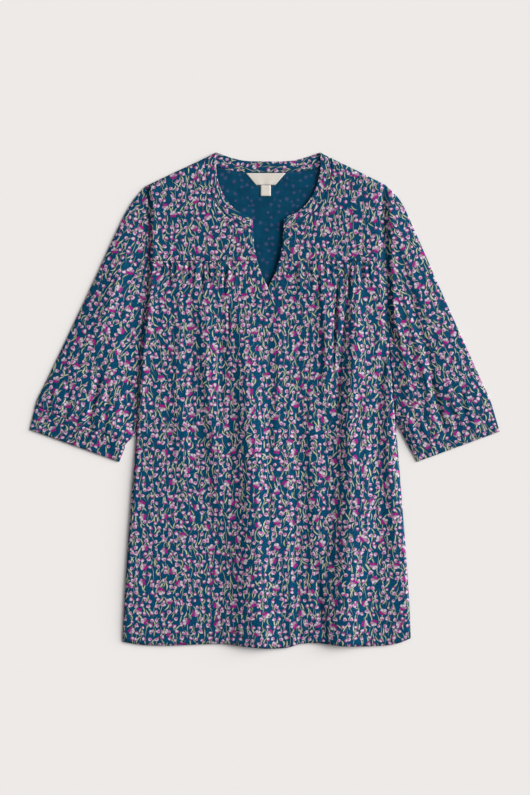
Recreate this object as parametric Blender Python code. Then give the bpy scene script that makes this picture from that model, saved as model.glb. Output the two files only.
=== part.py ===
"""A woman's tunic top, laid out flat on its back with the front up.

The back panel lies on the surface. The front lies on it: a gathered front panel, two yokes above it,
a neck band that folds over at each shoulder, and a flattened sleeve with a cuff at each side.

Units are metres. +X is to the right and +Y towards the neck, as the garment is seen from above. +Z is
up. The origin is on the surface, under the middle of the whole garment.
"""

import bisect
import math
from collections import namedtuple

import bmesh
import bpy
from mathutils import Vector

# Thicknesses and gaps
CLOTH = 0.0014  # one layer of the knitted cloth
DOUBLED = 0.0018  # folded cloth of the neck band and the cuffs
BAND_FOLD_RADIUS = 0.0015  # from the axis of the band's fold to the middle of its cloth
BAND_FOLD_REACH = BAND_FOLD_RADIUS + DOUBLED / 2
LABEL = 0.0010  # woven labels
SEAM = 0.0003  # between two pieces that are sewn together
SIDE_GAP = 0.0008  # between the body's side and a sleeve that lies against it

# Main places, across and along the garment
NECK_MIDDLE = 0.0053  # centre line of the neck
YOKE_SEAM = 0.2215  # height of the seam under the yokes
NOTCH_FOOT = 0.1792  # lowest point of the neck's notch
UNDERARM = 0.112
LABEL_MIDDLE = 0.0015

# Heights above the surface
SEAM_TOP = CLOTH + SEAM + CLOTH  # top of the front where it is sewn to the back
TUBE_EDGE = 0.0036  # a sleeve's thickness at its folded edges
BODY_LOFT = 0.0027  # how far the front stands above its seams
YOKE_LOFT = 0.0024
BAND_LOFT = 0.0016  # how far the front of the band stands above its fold at the notch
SLEEVE_LOFT = 0.0027
EDGE_ROLL = 0.016  # how far in from a side seam the front keeps rising
HEM_ROLL = 0.060
HEM_START = 0.012  # how far into its roll the hem lies
YOKE_FOOT_LOFT = 0.0008  # how far a yoke rises again to the gathers
YOKE_FOOT_ROLL = 0.03
ROLL_POWER = 0.8  # below 1, cloth rises steeply from a seam

# Gathers under each yoke
GATHERS = 12
GATHER_START = 0.045  # from the neck's middle
GATHER_PITCH = 0.0103
GATHER_HEIGHT = 0.0027
GATHER_LENGTH = 0.085
GATHER_FAN = 0.59  # how much further apart the gathers stand for each metre below the seam
GATHER_STRAY = 0.35  # share of the pitch that a gather strays from its even place
GATHER_FLANKS = (0.0029, 0.0034)  # how far a gather slopes off to its left and its right
GATHER_SWELL = 0.010  # how far below the seam a gather reaches its height
GATHER_AT_SEAM = 0.45  # share of its height that a gather has at the seam
SHORTEST_GATHER = 0.35  # share of the longest one's length
LOWEST_GATHER = 0.6  # share of the highest one's height

# Gathers above each cuff
CUFF_GATHERS = 7
CUFF_GATHER_HEIGHT = 0.0022
CUFF_GATHER_LENGTH = 0.26  # share of the sleeve's length
CUFF_GATHER_FLANKS = (0.005, 0.006)
CUFF_GATHER_SWELL = 0.03  # share of the sleeve's length
CUFF_GATHER_AT_SEAM = 0.5
SHORTEST_CUFF_GATHER = 0.4
CUFF_GATHER_EDGE = 0.7  # from the sleeve's outer edge to the first gather, in pitches

# How a sleeve and a cuff rise from their edges
SLEEVE_ROLL = 0.030
ARMHOLE_START, ARMHOLE_ROLL = 0.004, 0.075  # shares of the sleeve's length
CUFF_ROLL = 0.08  # share of the sleeve's length
SLEEVE_AT_CUFF = 0.55  # share of its loft that a sleeve keeps at the cuff
CUFF_LOFT = 0.0018
CUFF_POWER = 0.7  # below 1, a cuff is fuller near its folded edges
CUFF_FALL = 0.35  # share of its loft that a cuff loses towards the hand

# The body's outline: its two edges at each height, armholes above the underarm and side seams below it
Side = namedtuple("Side", "y left right")
BODY_SIDES = (
    Side(0.3420, -0.1905, 0.1925),
    Side(0.3200, -0.1865, 0.1900),
    Side(0.2215, -0.1868, 0.1940),
    Side(0.1740, -0.1895, 0.1968),
    Side(0.1120, -0.1962, 0.1985),
    Side(0.0240, -0.2018, 0.2045),
    Side(-0.0800, -0.2072, 0.2130),
    Side(-0.1600, -0.2138, 0.2192),
    Side(-0.2400, -0.2195, 0.2255),
    Side(-0.3200, -0.2245, 0.2308),
    Side(-0.3980, -0.2280, 0.2345),
)

# The hem's line
Hem = namedtuple("Hem", "x y")
HEM_LINE = (
    Hem(-0.2280, -0.3862),
    Hem(-0.1940, -0.3915),
    Hem(-0.1500, -0.3926),
    Hem(-0.0970, -0.3904),
    Hem(-0.0650, -0.3900),
    Hem(-0.0330, -0.3936),
    Hem(0.0070, -0.3968),
    Hem(0.0360, -0.3958),
    Hem(0.0570, -0.3898),
    Hem(0.0880, -0.3885),
    Hem(0.1200, -0.3924),
    Hem(0.1640, -0.3936),
    Hem(0.2070, -0.3904),
    Hem(0.2345, -0.3806),
)

# The shoulder lines, from the neck band to the sleeve
Place = namedtuple("Place", "x y")
SHOULDERS = {
    "left": (Place(-0.0942, 0.3872), Place(-0.1356, 0.3680), Place(-0.1905, 0.3420)),
    "right": (Place(0.1048, 0.3872), Place(0.1480, 0.3665), Place(0.1925, 0.3440)),
}

# The neck band, by distance from the neck's middle: its open edge and the edge sewn to the garment
Band = namedtuple("Band", "open_x open_y seam_x seam_y")
BAND_FRONT = (
    Band(0.0826, 0.3962, 0.0995, 0.3872),
    Band(0.0832, 0.3760, 0.1012, 0.3712),
    Band(0.0815, 0.3580, 0.0985, 0.3520),
    Band(0.0775, 0.3420, 0.0935, 0.3335),
    Band(0.0695, 0.3250, 0.0835, 0.3135),
    Band(0.0570, 0.3090, 0.0675, 0.2945),
    Band(0.0420, 0.2980, 0.0485, 0.2812),
    Band(0.0300, 0.2925, 0.0335, 0.2750),
    Band(0.0246, 0.2870, 0.0243, 0.2690),
)
BAND_BACK = (
    Band(0.0826, 0.3962, 0.0995, 0.3872),
    Band(0.0740, 0.3928, 0.0870, 0.3765),
    Band(0.0650, 0.3896, 0.0750, 0.3705),
    Band(0.0520, 0.3856, 0.0590, 0.3670),
    Band(0.0380, 0.3828, 0.0420, 0.3650),
    Band(0.0200, 0.3818, 0.0210, 0.3636),
    Band(0.0000, 0.3816, 0.0000, 0.3632),
)

# The notch below the band: its half width at each height
Notch = namedtuple("Notch", "y half")
NOTCH = (
    Notch(0.2690, 0.0243),
    Notch(0.2500, 0.0225),
    Notch(0.2310, 0.0195),
    Notch(0.2035, 0.0112),
    Notch(0.1792, 0.0),
)

# Each sleeve's outer edge from the shoulder to the cuff, and where its inner edge leaves the body
SLEEVE_OUTER = {
    "left": (
        Place(-0.1924, 0.3420),
        Place(-0.2124, 0.3162),
        Place(-0.2284, 0.2880),
        Place(-0.2876, 0.1600),
        Place(-0.3484, 0.0320),
        Place(-0.3640, 0.0000),
        Place(-0.3668, -0.0096),
    ),
    "right": (
        Place(0.1944, 0.3432),
        Place(0.2160, 0.3200),
        Place(0.2300, 0.2930),
        Place(0.2884, 0.1600),
        Place(0.3460, 0.0320),
        Place(0.3604, 0.0000),
        Place(0.3652, -0.0144),
    ),
}
SLEEVE_LEAVES_BODY = {"left": -0.0540, "right": -0.0330}
CUFF_SEAM_INNER = {"left": Place(-0.2212, -0.0696), "right": Place(0.2292, -0.0728)}
CUFF_END = {
    "left": (Place(-0.3757, -0.0472), Place(-0.2324, -0.0987)),
    "right": (Place(0.3757, -0.0502), Place(0.2439, -0.0987)),
}

# The largest folds of the front: a crest from its top to its foot, and how far it slopes off to each side
Fold = namedtuple("Fold", "x_top y_top x_foot y_foot height left right")
FRONT_FOLDS = (
    Fold(-0.1390, 0.1900, -0.1340, -0.1700, 0.0018, 0.007, 0.009),
    Fold(-0.1010, 0.1900, -0.0720, -0.2100, 0.0042, 0.009, 0.016),
    Fold(-0.0560, 0.2000, -0.0640, -0.0600, 0.0016, 0.006, 0.008),
    Fold(-0.0370, 0.1500, -0.0180, -0.4500, 0.0066, 0.013, 0.022),
    Fold(0.0190, 0.1500, 0.0205, -0.3400, 0.0036, 0.008, 0.018),
    Fold(0.0790, 0.0500, 0.0770, -0.3400, 0.0030, 0.009, 0.015),
    Fold(0.0950, 0.2150, 0.0960, -0.0200, 0.0034, 0.008, 0.012),
    Fold(0.1180, 0.2150, 0.1110, 0.0300, 0.0026, 0.005, 0.009),
    Fold(0.1400, 0.2150, 0.1240, -0.1300, 0.0046, 0.009, 0.016),
    Fold(0.1330, -0.0300, 0.1090, -0.4500, 0.0058, 0.012, 0.022),
    Fold(0.1990, 0.0700, 0.2040, -0.2600, 0.0040, 0.010, 0.012),
)
FOLD_SWAY, FOLD_WAVES = 0.003, 7.0  # how far a crest wanders from its straight line, and how often
FOLD_END_POWER = 0.6  # below 1, a fold rises steeply from its two ends

# The largest folds of each sleeve, by shares of its width from the outer edge (s) and of its length
# from the armhole (t)
SleeveFold = namedtuple("SleeveFold", "s_top t_top s_foot t_foot height width")
SLEEVE_FOLDS = {
    "left": (
        SleeveFold(0.22, 0.02, 0.30, 0.62, 0.0020, 0.012),
        SleeveFold(0.55, 0.05, 0.52, 0.70, 0.0016, 0.014),
        SleeveFold(0.80, 0.30, 0.76, 0.98, 0.0022, 0.012),
    ),
    "right": (
        SleeveFold(0.24, 0.02, 0.30, 0.55, 0.0018, 0.012),
        SleeveFold(0.50, 0.25, 0.56, 0.98, 0.0034, 0.010),
        SleeveFold(0.74, 0.04, 0.80, 0.80, 0.0022, 0.012),
    ),
}

# The woven labels at the back of the neck
NECK_LABEL = (
    Place(-0.0318, 0.3628),
    Place(-0.0152, 0.3437),
    Place(0.0152, 0.3437),
    Place(0.0318, 0.3628),
)
SIZE_TAB_HALF = 0.0081
SIZE_TAB_LENGTH = 0.0172

# How finely the pieces are divided
SIDE_COLUMNS = 8
GATHER_COLUMNS = 44
CENTRE_COLUMNS = 8
SIDE_PART, GATHER_PART = 0.12, 0.78  # shares of the way from a side to the middle where these columns end
SIDE_CROWDING = 1.6  # above 1, columns stand closer at the side
FINE_ROWS = (0.0, 0.012, 0.026, 0.045)
LOWER_FINE_ROWS = (0.095, 0.130, 0.170, 0.210)
COARSE_ROWS = (0.26, 0.32, 0.39, 0.46, 0.54, 0.62, 0.70, 0.78, 0.86, 0.93, 1.0)
YOKE_STEPS = 14
NOTCH_STEPS = 4
BAND_PART = 0.72  # share of a yoke's neck edge that the band covers
SLEEVE_STEPS = 14
SLEEVE_TOP_STEPS = 20
SLEEVE_UNDER_STEPS = 5
CUFF_TOP_STEPS = 10
CUFF_UNDER_STEPS = 2
CUFF_STEPS = 2
ARC_STEPS = 4
BAND_STEPS = 14
BAND_FOLD_STEPS = 6
HEM_STEPS = 48
BACK_SIDE_STEPS = 24
JOINED = 1e-6  # points closer than this are one
SHARP_ANGLE = math.radians(50)

PRINT_BLUE = (0.010, 0.075, 0.130, 1.0)
LABEL_CREAM = (0.66, 0.60, 0.50, 1.0)
CLOTH_ROUGHNESS = 0.9


def smooth_value(knots, values, at):
    """The value at a place, on a cubic curve through the values at rising knots."""
    if at <= knots[0]:
        return values[0]
    if at >= knots[-1]:
        return values[-1]
    i = bisect.bisect_right(knots, at) - 1
    step = knots[i + 1] - knots[i]
    t = (at - knots[i]) / step

    def rise(j):
        low, high = max(j - 1, 0), min(j + 1, len(knots) - 1)
        return step * (values[high] - values[low]) / (knots[high] - knots[low])

    a, b = values[i], values[i + 1]
    return (
        a * (1 + 2 * t) * (1 - t) ** 2
        + b * t * t * (3 - 2 * t)
        + rise(i) * t * (1 - t) ** 2
        - rise(i + 1) * t * t * (1 - t)
    )


def read(rows, key, column, at):
    """A column of a table, read smoothly at a value of its key column."""
    pairs = sorted((getattr(row, key), getattr(row, column)) for row in rows)
    return smooth_value([p[0] for p in pairs], [p[1] for p in pairs], at)


def along(points, share):
    """The place at a share of the way along a smooth line through points."""
    knots = [0.0]
    for a, b in zip(points, points[1:]):
        knots.append(knots[-1] + math.dist(a, b))
    at = share * knots[-1]
    return Vector([smooth_value(knots, [p[k] for p in points], at) for k in (0, 1)])


def shares(count):
    return [i / count for i in range(count + 1)]


def rise_from(distance, reach):
    """From 0 at an edge to 1 at a distance of reach, steep at first, as cloth rolls up from a seam."""
    d = min(max(distance / reach, 0.0), 1.0)
    return math.sin(math.pi / 2 * d) ** ROLL_POWER


def bump(offset, left, right):
    """A crest of height 1 that slopes off to the left and to the right."""
    return math.exp(-((offset / (left if offset < 0 else right)) ** 2))


def uneven(k):
    """A number from 0 to 1 that follows no pattern as k counts up, from steps of the golden ratio."""
    return (k * 0.6180339 + 0.37) % 1.0


def filled(top, foot, left, right):
    """The place at shares (s, t) of a patch that fills four edges.

    The top and the foot run with s, and the left and the right with t.
    """

    def place(s, t):
        corners = (
            (1 - t) * ((1 - s) * top(0) + s * top(1))
            + t * ((1 - s) * foot(0) + s * foot(1))
        )
        return (1 - t) * top(s) + t * foot(s) + (1 - s) * left(t) + s * right(t) - corners

    return place


def body_edge(side, y):
    return read(BODY_SIDES, "y", side, y)


def hem_height(x):
    return read(HEM_LINE, "x", "y", x)


def shoulder_height(x):
    """The height of the shoulder line across the garment, taken as straight over the neck."""
    return read(SHOULDERS["left" if x < NECK_MIDDLE else "right"], "x", "y", x)


def notch_half(y):
    return read(NOTCH, "y", "half", y)


def gather_height(x, y):
    """How far the gathers below the yokes raise the front."""
    below = YOKE_SEAM - y
    side = -1 if x < NECK_MIDDLE else 1
    total = 0.0
    for k in range(GATHERS):
        reach = GATHER_LENGTH * (SHORTEST_GATHER + (1 - SHORTEST_GATHER) * uneven(3 * k + side))
        if below > reach:
            continue
        stray = GATHER_STRAY * (uneven(k + 5 * side) - 0.5)
        start = GATHER_START + GATHER_PITCH * (k + 0.5 + stray)
        crest = NECK_MIDDLE + side * start * (1 + GATHER_FAN * below)
        swell = GATHER_AT_SEAM + (1 - GATHER_AT_SEAM) * min(below / GATHER_SWELL, 1.0)
        fade = 0.5 + 0.5 * math.cos(math.pi * max(below, 0.0) / reach)
        height = GATHER_HEIGHT * (LOWEST_GATHER + (1 - LOWEST_GATHER) * uneven(7 * k + side))
        total += height * swell * fade * bump(x - crest, *GATHER_FLANKS)
    return total


def fold_height(x, y):
    """How far the front's largest folds raise it."""
    total = 0.0
    for fold in FRONT_FOLDS:
        share = (fold.y_top - y) / (fold.y_top - fold.y_foot)
        if not 0 < share < 1:
            continue
        lean = fold.x_top + (fold.x_foot - fold.x_top) * share
        crest = lean + FOLD_SWAY * math.sin(FOLD_WAVES * share + 40 * fold.x_top)
        strength = math.sin(math.pi * share) ** FOLD_END_POWER
        total += fold.height * strength * bump(x - crest, fold.left, fold.right)
    return total


def side_rise(x, y):
    return rise_from(min(x - body_edge("left", y), body_edge("right", y) - x), EDGE_ROLL)


def front_under(x, y):
    """The height of the front panel's underside."""
    to_hem = rise_from(y - hem_height(x) + HEM_START, HEM_ROLL)
    edge_height = (SEAM_TOP if y <= UNDERARM else TUBE_EDGE) - CLOTH
    shape = BODY_LOFT * to_hem + fold_height(x, y) + gather_height(x, y)
    return edge_height + side_rise(x, y) * shape


def yoke_under(x, y):
    """The height of a yoke's underside, which falls to the shoulder, the armhole and the front panel."""
    from_shoulder = rise_from(shoulder_height(x) - y, EDGE_ROLL)
    low, armhole = SEAM_TOP - CLOTH, TUBE_EDGE - CLOTH
    edge_height = low + (armhole - low) * from_shoulder
    to_foot = rise_from(YOKE_SEAM + YOKE_FOOT_ROLL - y, YOKE_FOOT_ROLL)
    loft = YOKE_LOFT + YOKE_FOOT_LOFT * to_foot
    return edge_height + side_rise(x, y) * from_shoulder * loft


def mesh_object(name, bm, colour):
    """A named object from a closed mesh, with faces out, sharp edges kept and a material of its own."""
    bmesh.ops.remove_doubles(bm, verts=bm.verts, dist=JOINED)
    bmesh.ops.recalc_face_normals(bm, faces=bm.faces)
    mesh = bpy.data.meshes.new(name)
    bm.to_mesh(mesh)
    bm.free()
    mesh.shade_smooth()
    mesh.set_sharp_from_angle(angle=SHARP_ANGLE)
    material = bpy.data.materials.new(name)
    material.use_nodes = True
    shader = material.node_tree.nodes["Principled BSDF"]
    shader.inputs["Base Color"].default_value = colour
    shader.inputs["Roughness"].default_value = CLOTH_ROUGHNESS
    mesh.materials.append(material)
    thing = bpy.data.objects.new(name, mesh)
    bpy.context.scene.collection.objects.link(thing)
    return thing


def sheet_faces(bm, rows):
    """Faces between rows of points. A row may have half as many spaces as the one above it."""
    lines = [[bm.verts.new(p) for p in row] for row in rows]
    for upper, lower in zip(lines, lines[1:]):
        if len(upper) == len(lower):
            for j in range(len(lower) - 1):
                bm.faces.new((upper[j], lower[j], lower[j + 1], upper[j + 1]))
        else:
            for j in range(len(lower) - 1):
                bm.faces.new((upper[2 * j], lower[j], lower[j + 1], upper[2 * j + 2], upper[2 * j + 1]))


def raise_wall(bm, thickness):
    """Turns a sheet into a wall by a copy of it that stands thickness above it."""
    bmesh.ops.remove_doubles(bm, verts=bm.verts, dist=JOINED)
    made = bmesh.ops.extrude_face_region(bm, geom=bm.faces[:])
    raised = [v for v in made["geom"] if isinstance(v, bmesh.types.BMVert)]
    bmesh.ops.translate(bm, verts=raised, vec=(0, 0, thickness))


def front_columns():
    """Shares of the way from a side seam to the middle, close together at the roll and the gathers."""
    side = [SIDE_PART * s ** SIDE_CROWDING for s in shares(SIDE_COLUMNS)]
    gathers = [SIDE_PART + (GATHER_PART - SIDE_PART) * s for s in shares(GATHER_COLUMNS)]
    centre = [GATHER_PART + (1 - GATHER_PART) * s for s in shares(CENTRE_COLUMNS)]
    return side + gathers[1:] + centre[1:]


def front_row(side, share, columns):
    """The points of one half of the front panel, at a share of the way down from its top to the hem."""
    sign = -1 if side == "left" else 1
    top = YOKE_SEAM - SEAM
    row = []
    for u in columns:
        y = top
        for _ in range(3):  # the hem's height and the sides' places depend on each other
            inner = NECK_MIDDLE + sign * notch_half(y)
            outer = body_edge(side, y)
            x = outer + (inner - outer) * u
            y = top + (hem_height(x) - top) * share
        row.append((x, y, front_under(x, y)))
    return row


def front_panel():
    """The front panel, gathered under the yokes, with the foot of the notch cut into its top."""
    top = YOKE_SEAM - SEAM
    foot_share = (top - NOTCH_FOOT) / (top - hem_height(NECK_MIDDLE))
    columns = front_columns()
    bm = bmesh.new()
    for side in ("left", "right"):
        fine = (*FINE_ROWS, foot_share, *LOWER_FINE_ROWS)
        rows = [front_row(side, share, columns) for share in fine]
        rows += [front_row(side, share, columns[::2]) for share in COARSE_ROWS]
        sheet_faces(bm, rows)
    raise_wall(bm, CLOTH)
    return mesh_object("front_panel", bm, PRINT_BLUE)


def band_edges(table, share):
    """The band's open edge and its sewn edge, at a share of the way along a half of it."""
    opened = [(row.open_x, row.open_y) for row in table]
    sewn = [(row.seam_x, row.seam_y) for row in table]
    return along(opened, share), along(sewn, share)


def away_from_fold(opened, sewn):
    """The level direction that looks out of the garment where the band folds over."""
    across = (sewn - opened).normalized()
    return Vector((-across.y, across.x))


def beside_band(table, share, sign, inward=0.0):
    """The edge of the cloth that is sewn to the band: on the right for a sign of 1, on the left for -1."""
    opened, sewn = band_edges(table, share)
    level = sewn + (sewn - opened).normalized() * SEAM - away_from_fold(opened, sewn) * inward
    return Vector((NECK_MIDDLE + sign * level.x, level.y))


def band_section(opened, sewn, sign, turn, inward=0.0):
    """The four corners of the band's section, turned from face up at 0 to face down at pi."""
    away = away_from_fold(opened, sewn)
    height = DOUBLED / 2 + BAND_FOLD_RADIUS * (1 + math.cos(turn))
    corners = []
    for point, face in ((opened, 1), (sewn, 1), (sewn, -1), (opened, -1)):
        level = point + away * (math.sin(turn) * face * DOUBLED / 2 - inward)
        z = height + math.cos(turn) * face * DOUBLED / 2
        corners.append(Vector((NECK_MIDDLE + sign * level.x, level.y, z)))
    return corners


def yoke(side):
    """One front yoke, between the shoulder, the armhole, the front panel and the neck."""
    sign = -1 if side == "left" else 1
    shoulder = SHOULDERS[side]
    seam_y = YOKE_SEAM + SEAM
    corner = beside_band(BAND_FRONT, 1, sign)
    notch_line = [(NECK_MIDDLE + sign * row.half, row.y) for row in NOTCH if seam_y < row.y < corner.y]
    notch_line = [corner, *notch_line, (NECK_MIDDLE + sign * notch_half(seam_y), seam_y)]

    def shoulder_edge(s):
        high = (body_edge(side, shoulder[-1].y), shoulder[-1].y)
        return along([beside_band(BAND_FRONT, 0, sign), *shoulder[1:-1], high], s)

    def armhole_edge(t):
        y = shoulder[-1].y + (seam_y - shoulder[-1].y) * t
        return Vector((body_edge(side, y), y))

    def foot_edge(s):
        return Vector(notch_line[-1]).lerp(Vector((body_edge(side, seam_y), seam_y)), s)

    def neck_edge(t):
        if t < BAND_PART:
            return beside_band(BAND_FRONT, t / BAND_PART, sign)
        return along(notch_line, (t - BAND_PART) / (1 - BAND_PART))

    place = filled(shoulder_edge, foot_edge, neck_edge, armhole_edge)
    down = [BAND_PART * share for share in shares(BAND_STEPS)]
    down += [BAND_PART + (1 - BAND_PART) * share for share in shares(NOTCH_STEPS)[1:]]
    rows = []
    for t in down:
        row = []
        for s in shares(YOKE_STEPS):
            x, y = place(s, t)
            row.append((x, y, yoke_under(x, y)))
        rows.append(row)
    bm = bmesh.new()
    sheet_faces(bm, rows)
    raise_wall(bm, CLOTH)
    return mesh_object("yoke_" + side, bm, PRINT_BLUE)


def neck_band():
    """The doubled band round the neck, from one side of the notch over both shoulders to the other."""
    halves = {}
    for sign in (-1, 1):
        sections = []
        for share in shares(BAND_STEPS)[:0:-1]:
            rise = Vector((0, 0, BAND_LOFT * math.sin(math.pi / 2 * share)))
            section = band_section(*band_edges(BAND_FRONT, share), sign, 0.0)
            sections.append([p + rise for p in section])
        for share in shares(BAND_FOLD_STEPS):
            turn = math.pi * share
            inward = BAND_FOLD_REACH - BAND_FOLD_RADIUS * math.sin(turn)
            sections.append(band_section(*band_edges(BAND_FRONT, 0), sign, turn, inward))
        for share in shares(BAND_STEPS)[1:]:
            sections.append(band_section(*band_edges(BAND_BACK, share), sign, math.pi))
        halves[sign] = sections
    sections = halves[-1] + halves[1][-2::-1]
    bm = bmesh.new()
    loops = [[bm.verts.new(p) for p in section] for section in sections]
    for a, b in zip(loops, loops[1:]):
        for k in range(4):
            bm.faces.new((a[k], a[(k + 1) % 4], b[(k + 1) % 4], b[k]))
    bm.faces.new(loops[0][::-1])
    bm.faces.new(loops[-1])
    return mesh_object("neck_band", bm, PRINT_BLUE)


def back_outline():
    """The back panel's edge, from the left end of the hem to the right, and up over the shoulders."""
    hem_left, hem_right = HEM_LINE[0], HEM_LINE[-1]
    points = []
    for share in shares(HEM_STEPS):
        x = hem_left.x + (hem_right.x - hem_left.x) * share
        points.append((x, hem_height(x)))
    for side, sign, hem_end in (("right", 1, hem_right), ("left", -1, hem_left)):
        shoulder_end = SHOULDERS[side][-1].y
        up = [hem_end.y + (shoulder_end - hem_end.y) * share for share in shares(BACK_SIDE_STEPS)[1:]]
        edge = [(body_edge(side, y), y) for y in up]
        shoulder = [(p.x, p.y - SEAM) for p in SHOULDERS[side][1:-1]]
        neck_line = [beside_band(BAND_BACK, 0, sign), beside_band(BAND_BACK, 0, sign, BAND_FOLD_REACH)]
        neck_line += [beside_band(BAND_BACK, share, sign) for share in shares(BAND_STEPS)[1:]]
        over = edge + shoulder[::-1] + [tuple(p) for p in neck_line]
        points += over if side == "right" else over[-2:0:-1] + [over[0]]
    return points


def back_panel():
    """The back, flat on the surface, with the curve of the neck cut into its top."""
    bm = bmesh.new()
    bm.faces.new([bm.verts.new((x, y, 0)) for x, y in back_outline()])
    raise_wall(bm, CLOTH)
    return mesh_object("back_panel", bm, PRINT_BLUE)


def tube_rings(place, height, t, thickness, top_steps, under_steps):
    """The outer and the inner ring of a flattened tube at a share of its length.

    They run along the top, round the inner edge, back underneath and round the outer edge.
    """
    first, last = place(0, t), place(1, t)
    across = (last - first).normalized()
    width = (last - first).length
    radius = TUBE_EDGE / 2
    inset = radius / width
    outer, inner = [], []
    for share in shares(top_steps):
        s = inset + (1 - 2 * inset) * share
        x, y = place(s, t)
        outer.append((x, y, height(s, t)))
        inner.append((x, y, height(s, t) - thickness))
    corner = place(1 - inset, t)
    for k in range(1, ARC_STEPS):
        turn = math.pi * k / ARC_STEPS
        for ring, r in ((outer, radius), (inner, radius - thickness)):
            ring.append((*(corner + across * r * math.sin(turn)), radius + r * math.cos(turn)))
    for share in shares(under_steps):
        x, y = place(1 - inset - (1 - 2 * inset) * share, t)
        outer.append((x, y, 0.0))
        inner.append((x, y, thickness))
    corner = place(inset, t)
    for k in range(1, ARC_STEPS):
        turn = math.pi * k / ARC_STEPS
        for ring, r in ((outer, radius), (inner, radius - thickness)):
            ring.append((*(corner - across * r * math.sin(turn)), radius - r * math.cos(turn)))
    return outer, inner


def tube(name, rings, colour):
    """A flattened tube with open ends, from an outer and an inner ring for each section."""
    bm = bmesh.new()
    outer = [[bm.verts.new(p) for p in ring] for ring, _ in rings]
    inner = [[bm.verts.new(p) for p in ring] for _, ring in rings]
    pairs = list(zip(outer, outer[1:])) + list(zip(inner[1:], inner))
    pairs += [(inner[0], outer[0]), (outer[-1], inner[-1])]
    for a, b in pairs:
        n = len(a)
        for k in range(n):
            bm.faces.new((a[k], a[(k + 1) % n], b[(k + 1) % n], b[k]))
    return mesh_object(name, bm, colour)


def sleeve_place(side):
    """The place of a sleeve's shares: s from its outer edge to its inner, t from armhole to cuff."""
    sign = -1 if side == "left" else 1
    top, foot = SHOULDERS[side][-1].y, SLEEVE_LEAVES_BODY[side]
    body_part = 0.90  # share of the inner edge that lies along the body
    corner_part, gap_part = 0.05, 0.10  # shares of the edges where they leave the armhole
    inner_foot = Vector(CUFF_SEAM_INNER[side])

    def armhole(s):
        y = top + (UNDERARM - top) * s
        return Vector((body_edge(side, y) + sign * SEAM, y))

    def outer(t):
        return armhole(0).lerp(along(SLEEVE_OUTER[side], t), min(t / corner_part, 1.0))

    def inner(t):
        if t < body_part:
            y = UNDERARM + (foot - UNDERARM) * t / body_part
            gap = SEAM + (SIDE_GAP - SEAM) * min(t / gap_part, 1.0)
            return Vector((body_edge(side, y) + sign * gap, y))
        leaves = Vector((body_edge(side, foot) + sign * SIDE_GAP, foot))
        return leaves.lerp(inner_foot, (t - body_part) / (1 - body_part))

    def cuff_seam(s):
        return Vector(SLEEVE_OUTER[side][-1]).lerp(inner_foot, s)

    return filled(armhole, cuff_seam, outer, inner)


def sleeve_height(side):
    """The height of a sleeve's top at its shares (s, t)."""
    place = sleeve_place(side)

    def height(s, t):
        width = (place(1, t) - place(0, t)).length
        across = rise_from(min(s, 1 - s) * width, SLEEVE_ROLL)
        from_armhole = rise_from(t + ARMHOLE_START, ARMHOLE_ROLL)
        to_cuff = SLEEVE_AT_CUFF + (1 - SLEEVE_AT_CUFF) * rise_from(1 - t, CUFF_ROLL)
        total = SLEEVE_LOFT * to_cuff
        for fold in SLEEVE_FOLDS[side]:
            share = (t - fold.t_top) / (fold.t_foot - fold.t_top)
            if 0 < share < 1:
                crest = fold.s_top + (fold.s_foot - fold.s_top) * share
                strength = math.sin(math.pi * share) ** FOLD_END_POWER
                total += fold.height * strength * bump((s - crest) * width, fold.width, fold.width)
        for k in range(CUFF_GATHERS):
            longest = uneven(2 * k + len(side))
            reach = CUFF_GATHER_LENGTH * (SHORTEST_CUFF_GATHER + (1 - SHORTEST_CUFF_GATHER) * longest)
            if 1 - t < reach:
                pitches = k + CUFF_GATHER_EDGE + GATHER_STRAY * (uneven(k) - 0.5)
                crest = pitches / (CUFF_GATHERS - 1 + 2 * CUFF_GATHER_EDGE)
                fade = 0.5 + 0.5 * math.cos(math.pi * (1 - t) / reach)
                full = min((1 - t) / CUFF_GATHER_SWELL, 1.0)
                swell = CUFF_GATHER_AT_SEAM + (1 - CUFF_GATHER_AT_SEAM) * full
                total += CUFF_GATHER_HEIGHT * swell * fade * bump((s - crest) * width, *CUFF_GATHER_FLANKS)
        return TUBE_EDGE + across * from_armhole * total

    return height


def sleeve(side):
    """One sleeve: a flattened tube, open at the armhole and at the cuff, gathered above the cuff."""
    place, height = sleeve_place(side), sleeve_height(side)
    rings = [
        tube_rings(place, height, t, CLOTH, SLEEVE_TOP_STEPS, SLEEVE_UNDER_STEPS)
        for t in shares(SLEEVE_STEPS)
    ]
    return tube("sleeve_" + side, rings, PRINT_BLUE)


def cuff(side):
    """One cuff: a flattened tube of doubled cloth, open at the hand."""
    seam_outer, seam_inner = Vector(SLEEVE_OUTER[side][-1]), Vector(CUFF_SEAM_INNER[side])
    end_outer, end_inner = (Vector(p) for p in CUFF_END[side])
    gap = (end_outer - seam_outer).normalized() * SEAM

    def place(s, t):
        seam = (seam_outer + gap).lerp(seam_inner + gap, s)
        return seam.lerp(end_outer.lerp(end_inner, s), t)

    def height(s, t):
        return TUBE_EDGE + CUFF_LOFT * math.sin(math.pi * s) ** CUFF_POWER * (1 - CUFF_FALL * t)

    rings = [
        tube_rings(place, height, t, DOUBLED - SEAM, CUFF_TOP_STEPS, CUFF_UNDER_STEPS)
        for t in shares(CUFF_STEPS)
    ]
    return tube("cuff_" + side, rings, PRINT_BLUE)


def plate(name, points, foot, thickness, colour):
    """A flat piece of cloth with a straight-sided outline."""
    bm = bmesh.new()
    bm.faces.new([bm.verts.new((x, y, foot)) for x, y in points])
    raise_wall(bm, thickness)
    return mesh_object(name, bm, colour)


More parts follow.
